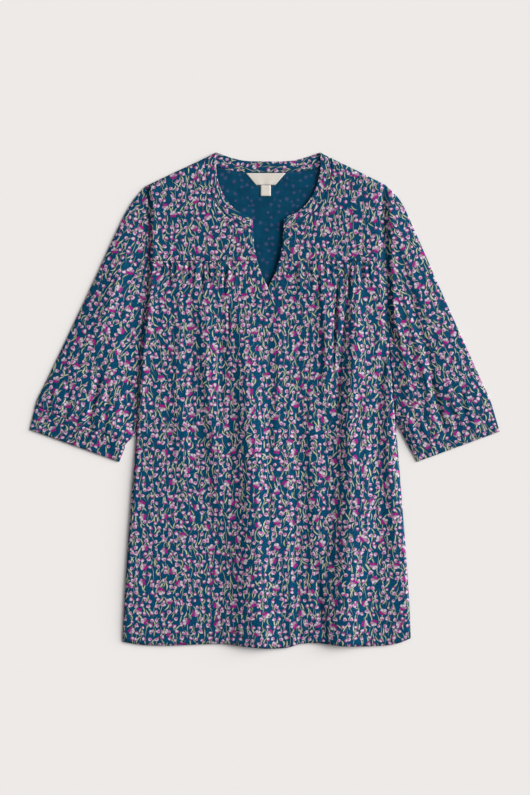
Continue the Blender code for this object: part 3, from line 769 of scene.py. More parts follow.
def band_section(opened, sewn, sign, turn, inward=0.0, lift=0.0):
    """The band's rounded section: a ring of points about its middle, turned about its width."""
    away = away_from_fold(opened, sewn)
    height = DOUBLED / 2 + BAND_FOLD_RADIUS * (1 + math.cos(turn)) + lift
    middle, half = (opened + sewn) / 2, (sewn - opened) / 2
    ring = []
    for k in range(BAND_AROUND + 1):
        angle = 2 * math.pi * k / BAND_AROUND
        wide, thick = math.cos(angle), math.sin(angle)
        wide = math.copysign(abs(wide) ** 0.25, wide)
        thick = math.copysign(abs(thick) ** 0.6, thick) * DOUBLED / 2
        level = middle + half * wide + away * (math.sin(turn) * thick - inward)
        ring.append(Vector((NECK_MIDDLE + sign * level.x, level.y, height + math.cos(turn) * thick)))
    return ring


def make_neck_band(print_side):
    """The doubled band round the neck, which folds over at each shoulder."""
    halves = {}
    for sign in (-1, 1):
        sections = []
        for share in shares(BAND_FRONT_STEPS)[:0:-1]:
            lift = band_top(share) - band_top(0)
            sections.append(band_section(*band_edges(BAND_FRONT, share), sign, 0.0, 0.0, lift))
        for share in shares(BAND_FOLD_STEPS):
            inward = BAND_FOLD_REACH - BAND_FOLD_RADIUS * math.sin(math.pi * share)
            sections.append(band_section(*band_edges(BAND_FRONT, 0), sign, math.pi * share, inward))
        for share in shares(BAND_BACK_STEPS)[1:]:
            sections.append(band_section(*band_edges(BAND_BACK, share), sign, math.pi))
        halves[sign] = sections
    sections = halves[-1] + halves[1][-2::-1]
    run = [0.0]
    for a, b in zip(sections, sections[1:]):
        run.append(run[-1] + (sum(b, Vector()) - sum(a, Vector())).length / len(a))

    def flat(at):
        """The cloth runs along the band, and round its section."""
        spots = {}
        for (i, j) in at:
            round_it = sum((at[i, k + 1] - at[i, k]).length for k in range(j))
            spots[i, j] = (round_it + 1.7, run[i])
        return spots

    bm = bmesh.new()
    add_grid(bm, len(sections) - 1, BAND_AROUND, lambda i, j: sections[i][j], flat)
    bmesh.ops.remove_doubles(bm, verts=bm.verts[:], dist=1e-6)
    bmesh.ops.holes_fill(bm, edges=[e for e in bm.edges if e.is_boundary], sides=0)
    bmesh.ops.recalc_face_normals(bm, faces=bm.faces[:])
    band = finish_piece("band_at_neck", bm, (print_side,), ["neck_band"])
    return band


def ring_of(place, height, t, steps, inner_round=SLEEVE_EDGE / 2):
    """One ring of a flattened tube: from its inner edge over the top to its outer edge, and back underneath."""
    first, last = place(0, t), place(1, t)
    across = (last - first).normalized()
    width = (last - first).length
    radius = SLEEVE_EDGE / 2
    start, end = radius / width, 1 - inner_round / width
    top_steps, under_steps = steps
    ring = []
    for share in shares(top_steps):
        s = end + (start - end) * share
        ring.append(Vector((*place(s, t), height(s, t))))
    corner, turns = place(start, t), [math.pi * k / EDGE_STEPS for k in range(1, EDGE_STEPS)]
    for turn in turns:
        ring.append(Vector((*(corner - across * radius * math.sin(turn)), radius + radius * math.cos(turn))))
    for share in shares(under_steps):
        ring.append(Vector((*place(start + (end - start) * share, t), 0.0)))
    corner = place(end, t)
    for turn in turns:
        ring.append(Vector((*(corner + across * inner_round * math.sin(turn)), radius - radius * math.cos(turn))))
    return ring + [ring[0].copy()]


def sleeve_grain(side):
    """Turns a place into one along the sleeve's grain, which follows its outer edge."""
    outer = SLEEVE_OUTER[side]
    run = Vector(outer[-1]) - Vector(outer[2])
    turn = Matrix.Rotation(math.atan2(run.x, -run.y), 2)
    return lambda p: turn.transposed() @ Vector((p.x, p.y))


def make_tube(name, side, rings, top_steps, materials, nodes, thickness, shift):
    """A flattened tube of cloth, with the print unrolled round its outer edge."""
    grain = sleeve_grain(side)
    turn_at = top_steps + EDGE_STEPS // 2

    def flat(at):
        spots = {}
        for (i, j), p in at.items():
            spot = grain(p)
            if i > turn_at:
                spot.x = 2 * grain(at[turn_at, j]).x - spot.x
            spots[i, j] = (spot.x + shift[0], spot.y + shift[1])
        return spots

    bm = bmesh.new()
    add_grid(bm, len(rings[0]) - 1, len(rings) - 1, lambda i, j: rings[j][i], flat)
    tube = finish_piece(name, bm, materials, nodes)
    thicken(tube, thickness)
    return tube


def sleeve_place(side):
    """The place of a sleeve's shares (s, t): s from its outer edge to its inner one, t from the armhole to the cuff."""
    sign = -1 if side == "left" else 1
    top, foot = SHOULDERS[side][-1].y, SLEEVE_LEAVES_BODY[side]
    body_part = 0.90
    inner_foot = Vector(CUFF_SEAM_INNER[side])

    def armhole(s):
        y = top + (UNDERARM - top) * s
        return Vector((body_edge(side, y) + sign * SEAM, y))

    def outer(t):
        return armhole(0).lerp(along(SLEEVE_OUTER[side], t), min(t * 20, 1.0))

    def inner(t):
        if t < body_part:
            y = UNDERARM + (foot - UNDERARM) * t / body_part
            gap = SEAM + (SIDE_GAP - SEAM) * min(t * 10, 1.0)
            return Vector((body_edge(side, y) + sign * gap, y))
        leaves = Vector((body_edge(side, foot) + sign * SIDE_GAP, foot))
        return leaves.lerp(inner_foot, (t - body_part) / (1 - body_part))

    def cuff_seam(s):
        return Vector(SLEEVE_OUTER[side][-1]).lerp(inner_foot, s)

    return filled(armhole, cuff_seam, outer, inner)


def sleeve_height(side):
    """The height of a sleeve's top at its shares (s, t)."""
    place = sleeve_place(side)

    def height(s, t):
        x, y = place(s, t)
        width = (place(1, t) - place(0, t)).length
        below_arm = ease(y, UNDERARM + 0.01, UNDERARM - 0.03)
        soft_reach = 0.055 if side == "left" else 0.009 + 0.021 * below_arm
        beside_body = ease(outside(side, x, y), SEAM, soft_reach)
        if side == "right":
            beside_body += 0.55 * (1 - beside_body) * ease(y, 0.100, 0.055)
        free_edge = rise_from((1 - s) * width, 0.012)
        level = beside_body + (free_edge - beside_body) * ease(t, 0.86, 0.96)
        level *= rise_from(s * width, 0.042)
        to_cuff = 0.75 + 0.25 * rise_from(1 - t, 0.12)
        total = SLEEVE_LOFT * to_cuff + ripple(x, y, 0.026, 0.0006) - crease_depth(x, y)
        for fold in SLEEVE_FOLDS[side]:
            share = (t - fold.t_top) / (fold.t_foot - fold.t_top)
            if 0 < share < 1:
                crest = fold.s_top + (fold.s_foot - fold.s_top) * share
                strength = math.sin(math.pi * share) ** 0.6
                total += fold.height * strength * bump((s - crest) * width, fold.width, fold.width)
        for k in range(CUFF_GATHERS):
            reach = CUFF_GATHER_LENGTH * (0.4 + 0.6 * uneven(2 * k + len(side)))
            if 1 - t < reach:
                crest = (k + 0.7 + 0.4 * (uneven(k) - 0.5)) / (CUFF_GATHERS + 0.4)
                fade = 0.5 + 0.5 * math.cos(math.pi * (1 - t) / reach)
                swell = 0.5 + 0.5 * min((1 - t) / 0.03, 1.0)
                total += CUFF_GATHER_HEIGHT * swell * fade * bump((s - crest) * width, 0.005, 0.006)
        if side == "right":
            total += SIDE_RIDGE * (1 - below_arm) * bump(outside(side, x, y) - 0.008, 0.006, 0.012)
        rise = SLEEVE_LOFT * 0.5 + total
        return max(SLEEVE_EDGE + level * rise, LOWEST_TOP)

    return height


def make_sleeve(side, print_side, reverse_side):
    """One sleeve, closed along the inner arm and gathered above the cuff."""
    place, height = sleeve_place(side), sleeve_height(side)
    rings = []
    for t in shares(SLEEVE_RINGS):
        inner_round = SLEEVE_INNER_ROUND * min(20 * t, 1)
        rings.append(ring_of(place, height, t, (SLEEVE_TOP_STEPS, SLEEVE_UNDER_STEPS), inner_round))
    shift = (2.3, 0.6) if side == "left" else (3.1, -0.4)
    name = "arm_" + side
    materials = (print_side, reverse_side)
    sleeve = make_tube(name, side, rings, SLEEVE_TOP_STEPS, materials, ["sleeve_" + side], SHELL, shift)
    return sleeve


def make_cuff(side, print_side):
    """One cuff of doubled cloth, as high as the sleeve at their seam and flat at its end."""
    sleeve = sleeve_height(side)
    seam_outer, seam_inner = Vector(SLEEVE_OUTER[side][-1]), Vector(CUFF_SEAM_INNER[side])
    end_outer, end_inner = (Vector(p) for p in CUFF_END[side])

    def place(s, t):
        return seam_outer.lerp(seam_inner, s).lerp(end_outer.lerp(end_inner, s), t)

    def height(s, t):
        x, y = place(s, t)
        across = math.sin(math.pi * s) ** 0.7
        end = SLEEVE_EDGE + (0.0005 + ripple(x, y, 0.014, 0.0004) * t) * across
        seam_roll = 0.0002 * (1 - rise_from(t, 0.12)) * across
        return end + (sleeve(s, 1) - end) * ease(t, 0.9, 0.0) - seam_roll

    rings = [ring_of(place, height, t, (60, 20)) for t in shares(CUFF_RINGS)]
    shift = (4.2, 0.3) if side == "left" else (5.4, 0.8)
    cuff = make_tube("wrist_" + side, side, rings, 60, (print_side,), ["cuff_" + side], CUFF_SHELL, shift)
    return cuff


def make_labels(tape):
    """Two bare woven labels: one with slanting ends, and a narrow size tab below it."""
    foot = SHELL + 0.0002

    def wide(i, j):
        t = j / 8
        left, low_left, low_right, right = NECK_LABEL
        half = right.x + (low_right.x - right.x) * t
        y = right.y + (low_right.y - right.y) * t
        x = LABEL_MIDDLE + half * (2 * i / 24 - 1)
        return x, y, foot + LABEL_SHELL + 0.0004 * math.sin(i / 24 * math.pi * 2.3) ** 2 * t

    def tab(i, j):
        x = LABEL_MIDDLE + SIZE_TAB_HALF * (i / 4 - 1)
        y = NECK_LABEL[1].y - SEAM - SIZE_TAB_LENGTH * j / 8
        return x, y, foot + LABEL_SHELL + 0.0006 * (j / 8) ** 2

    plan = lambda at: {step: (p.x, p.y) for step, p in at.items()}
    made = []
    for name, shape, columns, node in (("label_wide", wide, 24, "neck_label"), ("label_size", tab, 8, "size_tab")):
        bm = bmesh.new()
        add_grid(bm, columns, 8, shape, plan)
        label = finish_piece(name, bm, (tape,), [node])
        thicken(label, LABEL_SHELL)
        made.append(label)
    return made


def stitch_line(name, points, thread):
    """A row of stitches that follows points, each a short rounded stitch lying on the cloth."""
    bm = bmesh.new()
    knots = [0.0]
    for a, b in zip(points, points[1:]):
        knots.append(knots[-1] + (b - a).length)
    count = int(knots[-1] / STITCH_PITCH)
    for k in range(count):
        ends = []
        for at in ((k + 0.5) * STITCH_PITCH - STITCH_LENGTH / 2, (k + 0.5) * STITCH_PITCH + STITCH_LENGTH / 2):
            i = min(bisect.bisect_right(knots, at) - 1, len(points) - 2)
            ends.append(points[i].lerp(points[i + 1], (at - knots[i]) / (knots[i + 1] - knots[i])))
        run = ends[1] - ends[0]
        turn = run.to_track_quat("X", "Z").to_matrix().to_4x4()
        size = Matrix.Diagonal((run.length / 2, STITCH_RADIUS * 1.3, STITCH_RADIUS, 1.0))
        bmesh.ops.create_icosphere(
            bm, subdivisions=1, radius=1.0, matrix=Matrix.Translation((ends[0] + ends[1]) / 2) @ turn @ size
        )
    return finish_piece(name, bm, (thread,), [])


def make_stitches(thread, label_thread):
    """Two needle rows above the hem, and a row along the top of the wide label."""
    for k, extra in enumerate(HEM_NEEDLES):
        points = []
        for share in shares(160):
            x = -0.218 + 0.441 * share
            y = hem_height(x) + HEM_DEPTH + extra
            points.append(Vector((x, y, front_top(x, y) + 0.00005)))
        stitch_line(f"hem_stitches_{k + 1}", points, thread)
    top = SHELL + 0.0002 + LABEL_SHELL
    left, low_left, low_right, right = NECK_LABEL
    row = [Vector((LABEL_MIDDLE + right.x * (2 * s - 1) * 0.93, right.y - 0.0016, top)) for s in shares(12)]
    stitch_line("label_stitches", row, label_thread)


class Wiring:
    """Adds nodes to a node tree, and links or sets their inputs."""

    def __init__(self, tree):
        self.tree = tree

    def put(self, kind, values=None, **settings):
        node = self.tree.nodes.new(kind)
        for name, value in settings.items():
            setattr(node, name, value)
        for key, value in (values or {}).items():
            if isinstance(value, bpy.types.NodeSocket):
                self.tree.links.new(value, node.inputs[key])
            else:
                node.inputs[key].default_value = value
        return node

    def math(self, operation, a, b=0.0, c=0.0):
        return self.put("ShaderNodeMath", {0: a, 1: b, 2: c}, operation=operation).outputs[0]

    def vector(self, operation, a, b=(0.0, 0.0, 0.0)):
        node = self.put("ShaderNodeVectorMath", {0: a, 1: b}, operation=operation)
        return node.outputs["Value" if operation in ("LENGTH", "DISTANCE", "DOT_PRODUCT") else "Vector"]

    def step(self, value, low, high):
        """0 below low, 1 above high and smooth between. Low may be the larger."""
        node = self.put(
            "ShaderNodeMapRange", {"Value": value, "From Min": low, "From Max": high}, interpolation_type="SMOOTHSTEP"
        )
        return node.outputs["Result"]

    def mix(self, factor, a, b):
        node = self.put("ShaderNodeMix", {"Factor": factor, 6: a, 7: b}, data_type="RGBA")
        return node.outputs[2]

    def parts(self, vector):
        return self.put("ShaderNodeSeparateXYZ", {0: vector}).outputs

    def group(self, group, values):
        node = self.put("ShaderNodeGroup", None, node_tree=group)
        for key, value in values.items():
            if isinstance(value, bpy.types.NodeSocket):
                self.tree.links.new(value, node.inputs[key])
            else:
                node.inputs[key].default_value = value
        return node.outputs


def new_group(name, inputs, outputs):
    """An empty shader node group with named sockets, given as name, kind and first value."""
    group = bpy.data.node_groups.new(name, "ShaderNodeTree")
    for title, kind, value in inputs:
        socket = group.interface.new_socket(title, in_out="INPUT", socket_type="NodeSocket" + kind)
        if value is not None:
            socket.default_value = value
    for title, kind in outputs:
        group.interface.new_socket(title, in_out="OUTPUT", socket_type="NodeSocket" + kind)
    given = group.nodes.new("NodeGroupInput").outputs
    wires = Wiring(group)
    result = group.nodes.new("NodeGroupOutput").inputs
    return group, wires, given, result


def dye(red, green, blue):
    """A colour given as it looks on a screen, 0 to 255, as the linear values that a shader needs."""
    linear = [c / 255 / 12.92 if c < 11 else ((c / 255 + 0.055) / 1.055) ** 2.4 for c in (red, green, blue)]
    return (*linear, 1.0)


# The dyes of the print, as they look under the studio light
TEAL = dye(2, 71, 104)
TEAL_DEEP = dye(1, 50, 76)
OUTLINE = dye(1, 34, 54)
REVERSE_TEAL = dye(2, 66, 95)
REVERSE_DEEP = dye(1, 57, 83)
REVERSE_BLOOM = dye(92, 82, 134)
PETAL_PALE = dye(194, 183, 196)
PETAL_PINK = dye(116, 70, 128)
PETAL_ROSE = dye(160, 60, 134)
PETAL_MAGENTA = dye(146, 24, 120)
FLOWER_EYE = dye(116, 120, 76)
LEAF_CREAM = dye(202, 203, 176)
LEAF_OLIVE = dye(60, 90, 76)
THREAD = dye(18, 60, 86)
TAPE = dye(215, 210, 203)


PETAL_TURN = 2 * math.pi / 5


def scattered_group():
    """Places scattered over the cloth: where a point lies about the nearest one, and numbers that belong to it."""
    group, wires, given, result = new_group(
        "Scattered places",
        (
            ("Cloth", "Vector", None),
            ("Cell", "Vector", (0.02, 0.02, 1.0)),
            ("Shift", "Vector", (0.0, 0.0, 0.0)),
            ("Looseness", "Float", 0.8),
            ("Turn", "Float", 3.1416),
        ),
        (("Place", "Vector"), ("Chance", "Vector"), ("Centre", "Vector")),
    )
    cells = wires.vector("DIVIDE", wires.vector("ADD", given["Cloth"], given["Shift"]), given["Cell"])
    near = wires.put(
        "ShaderNodeTexVoronoi",
        {"Vector": cells, "Scale": 1.0, "Randomness": given["Looseness"]},
        voronoi_dimensions="2D",
    ).outputs
    local = wires.vector("MULTIPLY", wires.vector("SUBTRACT", cells, near["Position"]), given["Cell"])
    chance = wires.parts(near["Color"])
    angle = wires.math("MULTIPLY", wires.math("SUBTRACT", chance[0], 0.5), wires.math("MULTIPLY", given["Turn"], 2.0))
    turned = wires.put("ShaderNodeVectorRotate", {"Vector": local, "Angle": angle}, rotation_type="Z_AXIS")
    wires.tree.links.new(turned.outputs[0], result["Place"])
    wires.tree.links.new(near["Color"], result["Chance"])
    wires.tree.links.new(wires.vector("SUBTRACT", given["Cloth"], local), result["Centre"])
    return group


def flower_group():
    """An open flower with five petals, pale with one magenta side, about a place."""
    group, wires, given, result = new_group(
        "Open flower",
        (("Place", "Vector", None), ("Chance", "Vector", None), ("Radius", "Float", 0.006)),
        (("Color", "Color"), ("Mask", "Float"), ("Surround", "Float")),
    )
    x, y, _ = wires.parts(given["Place"])
    distance = wires.vector("LENGTH", given["Place"])
    angle = wires.math("ARCTAN2", y, x)
    petal = wires.math("ABSOLUTE", wires.math("COSINE", wires.math("MULTIPLY", angle, 2.5)))
    petal = wires.math("POWER", petal, 0.6)
    reach = wires.math("MULTIPLY", given["Radius"], wires.math("MULTIPLY_ADD", petal, 0.36, 0.64))
    mask = wires.step(distance, wires.math("MULTIPLY", reach, 1.05), wires.math("MULTIPLY", reach, 0.90))
    share = wires.math("DIVIDE", distance, given["Radius"])
    turn = wires.math("MULTIPLY", wires.math("ROUND", wires.math("DIVIDE", angle, PETAL_TURN)), PETAL_TURN)
    dark = wires.step(wires.math("COSINE", wires.math("ADD", turn, 0.3 * PETAL_TURN)), -0.80, 0.45)
    colour = wires.mix(wires.math("MULTIPLY", dark, wires.step(share, 0.05, 0.32)), PETAL_PALE, PETAL_MAGENTA)
    between = wires.math("MULTIPLY", wires.step(petal, 0.62, 0.20), 0.95)
    colour = wires.mix(between, colour, PETAL_PINK)
    colour = wires.mix(wires.step(share, 0.30, 0.12), colour, FLOWER_EYE)
    wires.tree.links.new(colour, result["Color"])
    wires.tree.links.new(mask, result["Mask"])
    surround = wires.step(distance, wires.math("MULTIPLY", reach, 1.25), wires.math("MULTIPLY", reach, 1.02))
    wires.tree.links.new(surround, result["Surround"])
    return group


def bud_group():
    """A round bud or a bell, pale on one side and magenta on the far one, about a place."""
    group, wires, given, result = new_group(
        "Bud",
        (("Place", "Vector", None), ("Chance", "Vector", None), ("Radius", "Float", 0.004)),
        (("Color", "Color"), ("Mask", "Float"), ("Surround", "Float"), ("Heart", "Float")),
    )
    x, y, _ = wires.parts(given["Place"])
    chance = wires.parts(given["Chance"])
    distance = wires.vector("LENGTH", given["Place"])
    angle = wires.math("ARCTAN2", y, x)
    lobes = wires.math("COSINE", wires.math("MULTIPLY", angle, 3.0))
    bell = wires.math("MULTIPLY_ADD", wires.step(chance[1], 0.60, 0.64), 0.14, 0.05)
    size = wires.math("MULTIPLY", given["Radius"], wires.math("MULTIPLY_ADD", chance[1], 0.34, 0.80))
    reach = wires.math("MULTIPLY", size, wires.math("MULTIPLY_ADD", lobes, bell, 1.0))
    mask = wires.step(distance, wires.math("MULTIPLY", reach, 1.05), wires.math("MULTIPLY", reach, 0.93))
    pale_spot = wires.vector("DISTANCE", given["Place"], (-0.0014, -0.0008, 0.0))
    away = wires.math("DIVIDE", pale_spot, size)
    ringed = wires.step(chance[2], 0.66, 0.58)
    blush = wires.math("MULTIPLY", wires.step(away, 0.45, 1.05), wires.math("MULTIPLY_ADD", ringed, -0.45, 0.92))
    colour = wires.mix(blush, PETAL_PALE, PETAL_MAGENTA)
    from_heart = wires.math("DIVIDE", wires.vector("DISTANCE", given["Place"], (0.0006, 0.0003, 0.0)), size)
    heart = wires.math("MULTIPLY", wires.step(from_heart, 0.64, 0.30), ringed)
    colour = wires.mix(wires.math("MULTIPLY", heart, 0.9), colour, PETAL_ROSE)
    share = wires.math("DIVIDE", distance, reach)
    rim = wires.math("MULTIPLY", wires.step(share, 0.72, 1.0), 0.45)
    colour = wires.mix(rim, colour, PETAL_PINK)
    wires.tree.links.new(colour, result["Color"])
    wires.tree.links.new(mask, result["Mask"])
    surround = wires.step(distance, wires.math("MULTIPLY", reach, 1.45), wires.math("MULTIPLY", reach, 1.02))
    wires.tree.links.new(surround, result["Surround"])
    seen_through = wires.math("MULTIPLY", wires.step(share, 1.15, 0.25), wires.step(chance[2], 0.10, 0.60))
    wires.tree.links.new(seen_through, result["Heart"])
    return group


def leaf_group():
    """A curved leaf, or a stem when it is long and narrow, about a place."""
    group, wires, given, result = new_group(
        "Leaf",
        (
            ("Place", "Vector", None),
            ("Chance", "Vector", None),
            ("Half length", "Float", 0.0075),
            ("Half width", "Float", 0.0018),
            ("Bend", "Float", 0.003),
        ),
        (("Color", "Color"), ("Mask", "Float"), ("Surround", "Float")),
    )
    x, y, _ = wires.parts(given["Place"])
    chance = wires.parts(given["Chance"])
    way = wires.math("MULTIPLY", wires.math("SUBTRACT", chance[1], 0.5), 2.0)
    up = wires.math("DIVIDE", y, given["Half length"])
    up_squared = wires.math("MULTIPLY", up, up)
    curve = wires.math("MULTIPLY", wires.math("MULTIPLY", way, given["Bend"]), wires.math("SUBTRACT", up_squared, 0.3))
    aside = wires.math("SUBTRACT", x, curve)
    taper = wires.math("MULTIPLY", wires.math("SUBTRACT", 1.0, up_squared), given["Half width"])
    over = wires.math("SUBTRACT", taper, wires.math("ABSOLUTE", aside))
    mask = wires.step(over, -0.0002, 0.0004)
    side = wires.math("DIVIDE", aside, given["Half width"])
    shade = wires.math("ADD", wires.step(side, -0.35, 0.65), wires.math("MULTIPLY", chance[2], 0.5))
    colour = wires.mix(wires.math("MULTIPLY", shade, 0.85), LEAF_CREAM, LEAF_OLIVE)
    wires.tree.links.new(colour, result["Color"])
    wires.tree.links.new(mask, result["Mask"])
    wires.tree.links.new(wires.step(over, -0.0009, -0.0001), result["Surround"])
    return group


# The layers of the leaves from the cloth up: the motif, the cell that one takes, a shift, how far it turns, its sizes
Layer = namedtuple("Layer", "motif cell shift looseness turn sizes")
LEAF_LAYERS = (
    Layer("stem", (0.0115, 0.0290), (0.0, 0.0), 0.9, 0.30, {"Half length": 0.0150, "Half width": 0.0005, "Bend": 0.005}),
    Layer("leaf", (0.0135, 0.0215), (5.3, 2.1), 0.9, 0.60, {"Half length": 0.0068, "Half width": 0.0013, "Bend": 0.004}),
    Layer("leaf", (0.0135, 0.0215), (9.1, 7.7), 0.9, 0.90, {"Half length": 0.0058, "Half width": 0.0013, "Bend": 0.004}),
    Layer("leaf", (0.0175, 0.0250), (4.4, 3.9), 0.9, 0.70, {"Half length": 0.0074, "Half width": 0.0014, "Bend": 0.005}),
)
BUD_CELL, BUD_LOOSENESS, BUD_RADIUS = 0.0104, 0.64, 0.0031
FLOWER_CELL, FLOWER_LOOSENESS, FLOWER_RADIUS = 0.0345, 0.80, 0.0058


def print_group():
    """The whole print over the ground colour, on the flat cloth in metres."""
    leaf, bud, flower = leaf_group(), bud_group(), flower_group()
    scattered = scattered_group()
    group, wires, given, result = new_group(
        "Ditsy print",
        (("Cloth", "Vector", None), ("Ground", "Color", TEAL), ("Ground deep", "Color", TEAL_DEEP)),
        (("Color", "Color"), ("Motif", "Float"), ("Heart", "Float")),
    )
    mottle = wires.put("ShaderNodeTexNoise", {"Vector": given["Cloth"], "Scale": 420.0, "Detail": 2.0})
    colour = wires.mix(wires.step(mottle.outputs[0], 0.42, 0.66), given["Ground"], given["Ground deep"])
    wobble = wires.put("ShaderNodeTexNoise", {"Vector": given["Cloth"], "Scale": 240.0, "Detail": 1.0})
    wobble = wires.vector("SUBTRACT", wobble.outputs["Color"], (0.5, 0.5, 0.5))
    wobble = wires.vector("MULTIPLY", wobble, (0.0022, 0.0022, 0.0))
    drift = wires.put("ShaderNodeTexNoise", {"Vector": given["Cloth"], "Scale": 34.0, "Detail": 1.0})
    drift = wires.vector("SUBTRACT", drift.outputs["Color"], (0.5, 0.5, 0.5))
    drift = wires.vector("MULTIPLY", drift, (0.010, 0.006, 0.0))
    drifted = wires.vector("ADD", given["Cloth"], drift)
    cloth = wires.vector("ADD", drifted, wobble)
    motif = 0.0
    for layer in LEAF_LAYERS:
        values = {"Cloth": drifted, "Cell": (*layer.cell, 1.0), "Shift": (*layer.shift, 0.0)}
        places = wires.group(scattered, {**values, "Looseness": layer.looseness, "Turn": layer.turn})
        drawn = wires.group(leaf, {"Place": places["Place"], "Chance": places["Chance"], **layer.sizes})
        colour = wires.mix(wires.math("MULTIPLY", drawn["Surround"], 0.35), colour, OUTLINE)
        colour = wires.mix(drawn["Mask"], colour, drawn["Color"])
        motif = wires.math("MAXIMUM", motif, drawn["Mask"])
    bud_places = {"Cell": (BUD_CELL, BUD_CELL, 1.0), "Looseness": BUD_LOOSENESS, "Turn": math.pi}
    flower_places = {"Cell": (FLOWER_CELL, FLOWER_CELL, 1.0), "Looseness": FLOWER_LOOSENESS, "Turn": math.pi}
    places = wires.group(scattered, {"Cloth": cloth, **bud_places})
    small = wires.group(bud, {"Place": places["Place"], "Chance": places["Chance"], "Radius": BUD_RADIUS})
    nearest = wires.group(scattered, {"Cloth": places["Centre"], **flower_places})
    clear = wires.math("GREATER_THAN", wires.vector("LENGTH", nearest["Place"]), FLOWER_RADIUS + 0.7 * BUD_RADIUS)
    small_mask = wires.math("MULTIPLY", small["Mask"], clear)
    small_surround = wires.math("MULTIPLY", wires.math("MULTIPLY", small["Surround"], clear), 0.60)
    colour = wires.mix(small_surround, colour, OUTLINE)
    colour = wires.mix(small_mask, colour, small["Color"])
    places = wires.group(scattered, {"Cloth": cloth, **flower_places})
    large = wires.group(flower, {"Place": places["Place"], "Chance": places["Chance"], "Radius": FLOWER_RADIUS})
    colour = wires.mix(wires.math("MULTIPLY", large["Surround"], 0.60), colour, OUTLINE)
    colour = wires.mix(large["Mask"], colour, large["Color"])
    motif = wires.math("MAXIMUM", motif, wires.math("MAXIMUM", small_mask, large["Mask"]))
    middle = wires.step(wires.vector("LENGTH", places["Place"]), 0.75 * FLOWER_RADIUS, 0.1 * FLOWER_RADIUS)
    heart = wires.math("MAXIMUM", wires.math("MULTIPLY", small["Heart"], clear), middle)
    wires.tree.links.new(colour, result["Color"])
    wires.tree.links.new(motif, result["Motif"])
    wires.tree.links.new(heart, result["Heart"])
    return group


def knit_group():
    """The height of fine jersey: upright ribs of small stitches, with a little fuzz."""
    group, wires, given, result = new_group(
        "Jersey knit", (("Cloth", "Vector", None), ("Rib", "Float", 0.0009)), (("Height", "Float"),)
    )
    x, y, _ = wires.parts(given["Cloth"])
    phase = wires.math("MULTIPLY", wires.math("DIVIDE", x, given["Rib"]), 2 * math.pi)
    rise = wires.math("MULTIPLY", wires.math("DIVIDE", y, given["Rib"]), 2.6 * math.pi)
    rib = wires.math("ABSOLUTE", wires.math("SINE", wires.math("MULTIPLY", phase, 0.5)))
    loop = wires.math("MULTIPLY", wires.math("SINE", wires.math("ADD", rise, wires.math("COSINE", phase))), 0.25)
    fuzz = wires.put("ShaderNodeTexNoise", {"Vector": given["Cloth"], "Scale": 1500.0, "Detail": 2.0}).outputs[0]
    height = wires.math("ADD", wires.math("ADD", rib, loop), wires.math("MULTIPLY", fuzz, 0.6))
    wires.tree.links.new(height, result["Height"])
    return group


def cloth_material(name, printed, knit, reverse, ground, ground_deep):
    """Jersey whose print shows fully on the right side, and faintly through on the reverse."""
    material = bpy.data.materials.new(name)
    material.use_nodes = True
    wires = Wiring(material.node_tree)
    shader = material.node_tree.nodes["Principled BSDF"]
    cloth = wires.put("ShaderNodeUVMap", uv_map="cloth").outputs[0]
    look = wires.group(printed, {"Cloth": cloth, "Ground": ground, "Ground deep": ground_deep})
    colour = look["Color"]
    if reverse:
        plain = wires.put("ShaderNodeTexNoise", {"Vector": cloth, "Scale": 60.0, "Detail": 3.0}).outputs[0]
        plain = wires.mix(wires.step(plain, 0.3, 0.7), ground, ground_deep)
        colour = wires.mix(wires.math("MULTIPLY", look["Heart"], 0.42), plain, REVERSE_BLOOM)
    wires.tree.links.new(colour, shader.inputs["Base Color"])
    height = wires.group(knit, {"Cloth": cloth})["Height"]
    relief = wires.put("ShaderNodeBump", {"Height": height, "Strength": 0.35, "Distance": 0.00025})
    wires.tree.links.new(relief.outputs[0], shader.inputs["Normal"])
    wires.tree.links.new(
        wires.math("MULTIPLY_ADD", look["Motif"], -0.06, 0.86), shader.inputs["Roughness"]
    )
    shader.inputs["Specular IOR Level"].default_value = 0.08
    shader.inputs["Sheen Weight"].default_value = 0.02
    shader.inputs["Sheen Roughness"].default_value = 0.45
    return material


def tape_material():
    """Cream woven label tape with a fine cross rib."""
    material = bpy.data.materials.new("Label tape")
    material.use_nodes = True
    wires = Wiring(material.node_tree)
    shader = material.node_tree.nodes["Principled BSDF"]
    cloth = wires.put("ShaderNodeUVMap", uv_map="cloth").outputs[0]
    x, y, _ = wires.parts(cloth)
    across = wires.math("SINE", wires.math("MULTIPLY", y, 2 * math.pi / 0.0007))
    down = wires.math("SINE", wires.math("MULTIPLY", x, 2 * math.pi / 0.0005))
    weave = wires.math("ADD", across, wires.math("MULTIPLY", down, 0.5))
    colour = wires.mix(wires.math("MULTIPLY_ADD", weave, 0.12, 0.2), TAPE, dye(200, 190, 176))
    wires.tree.links.new(colour, shader.inputs["Base Color"])
    relief = wires.put("ShaderNodeBump", {"Height": weave, "Strength": 0.5, "Distance": 0.0001})
    wires.tree.links.new(relief.outputs[0], shader.inputs["Normal"])
    shader.inputs["Roughness"].default_value = 0.7
    return material


def thread_material(name, colour):
    """Sewing thread, with painted shade in stripes that wind round it like the grooves between its plies."""
    material = bpy.data.materials.new(name)
    material.use_nodes = True
    wires = Wiring(material.node_tree)
    shader = material.node_tree.nodes["Principled BSDF"]
    place = wires.put("ShaderNodeTexCoord").outputs["Object"]
    # Painted shade: darker stripes, at seven tenths of the thread's colour, stand for the shade in the grooves between
    # the plies.
    ply_groove_shade = wires.put("ShaderNodeTexWave", {"Vector": place, "Scale": 900.0, "Distortion": 1.0})
    shade = tuple(0.7 * c for c in colour[:3]) + (1.0,)
    wires.tree.links.new(wires.mix(ply_groove_shade.outputs[1], shade, colour), shader.inputs["Base Color"])
    shader.inputs["Roughness"].default_value = 0.6
    return material


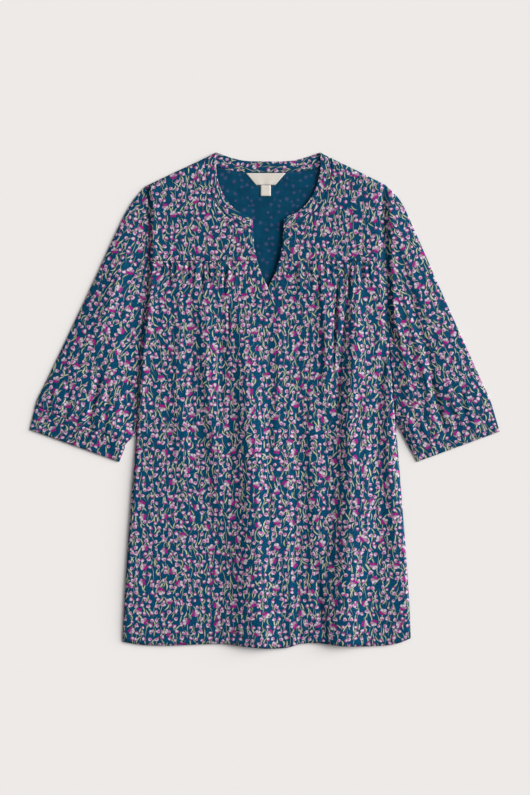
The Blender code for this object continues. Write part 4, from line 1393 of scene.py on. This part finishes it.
def make_camera():
    """The camera straight above the garment, with the neck at the top of the picture."""
    data = bpy.data.cameras.new("camera")
    data.lens = CAMERA_LENS
    data.sensor_width = 36.0
    data.clip_start, data.clip_end = 0.05, 20.0
    camera = bpy.data.objects.new("camera", data)
    camera.location = CAMERA_MIDDLE
    bpy.context.scene.collection.objects.link(camera)
    bpy.context.scene.camera = camera


def make_studio():
    """A pale surface, a soft light from the right and a pale surround."""
    bm = bmesh.new()
    bmesh.ops.create_grid(bm, x_segments=1, y_segments=1, size=6.0)
    bmesh.ops.translate(bm, verts=bm.verts[:], vec=(0.0, 0.0, -0.0002))
    mesh = bpy.data.meshes.new("surface")
    bm.to_mesh(mesh)
    bm.free()
    material = bpy.data.materials.new("Pale surface")
    material.use_nodes = True
    shader = material.node_tree.nodes["Principled BSDF"]
    shader.inputs["Base Color"].default_value = (0.80, 0.775, 0.765, 1.0)
    shader.inputs["Roughness"].default_value = 0.9
    shader.inputs["Specular IOR Level"].default_value = 0.1
    mesh.materials.append(material)
    floor = bpy.data.objects.new("surface", mesh)
    bpy.context.scene.collection.objects.link(floor)
    sun = bpy.data.lights.new("window", "SUN")
    sun.energy = SUN_STRENGTH
    sun.angle = SUN_SOFTNESS
    sun.color = (1.0, 0.985, 0.97)
    light = bpy.data.objects.new("window", sun)
    light.rotation_euler = SUN_FROM.to_track_quat("Z", "Y").to_euler()
    bpy.context.scene.collection.objects.link(light)
    world = bpy.data.worlds.new("surround")
    world.use_nodes = True
    sky = world.node_tree.nodes["Background"]
    sky.inputs["Color"].default_value = (0.97, 0.985, 1.0, 1.0)
    sky.inputs["Strength"].default_value = SKY_STRENGTH
    bpy.context.scene.world = world
    bpy.context.scene.view_settings.view_transform = "Standard"


def main():
    make_camera()
    make_studio()
    printed, knit = print_group(), knit_group()
    print_side = cloth_material("Printed jersey", printed, knit, False, TEAL, TEAL_DEEP)
    reverse_side = cloth_material("Jersey reverse", printed, knit, True, REVERSE_TEAL, REVERSE_DEEP)
    make_back(print_side, reverse_side)
    make_front(print_side, reverse_side)
    for side in ("left", "right"):
        make_yoke(side, print_side, reverse_side)
        make_sleeve(side, print_side, reverse_side)
        make_cuff(side, print_side)
    make_neck_band(print_side)
    make_labels(tape_material())
    make_stitches(thread_material("Hem thread", THREAD), thread_material("Label thread", TAPE))


main()
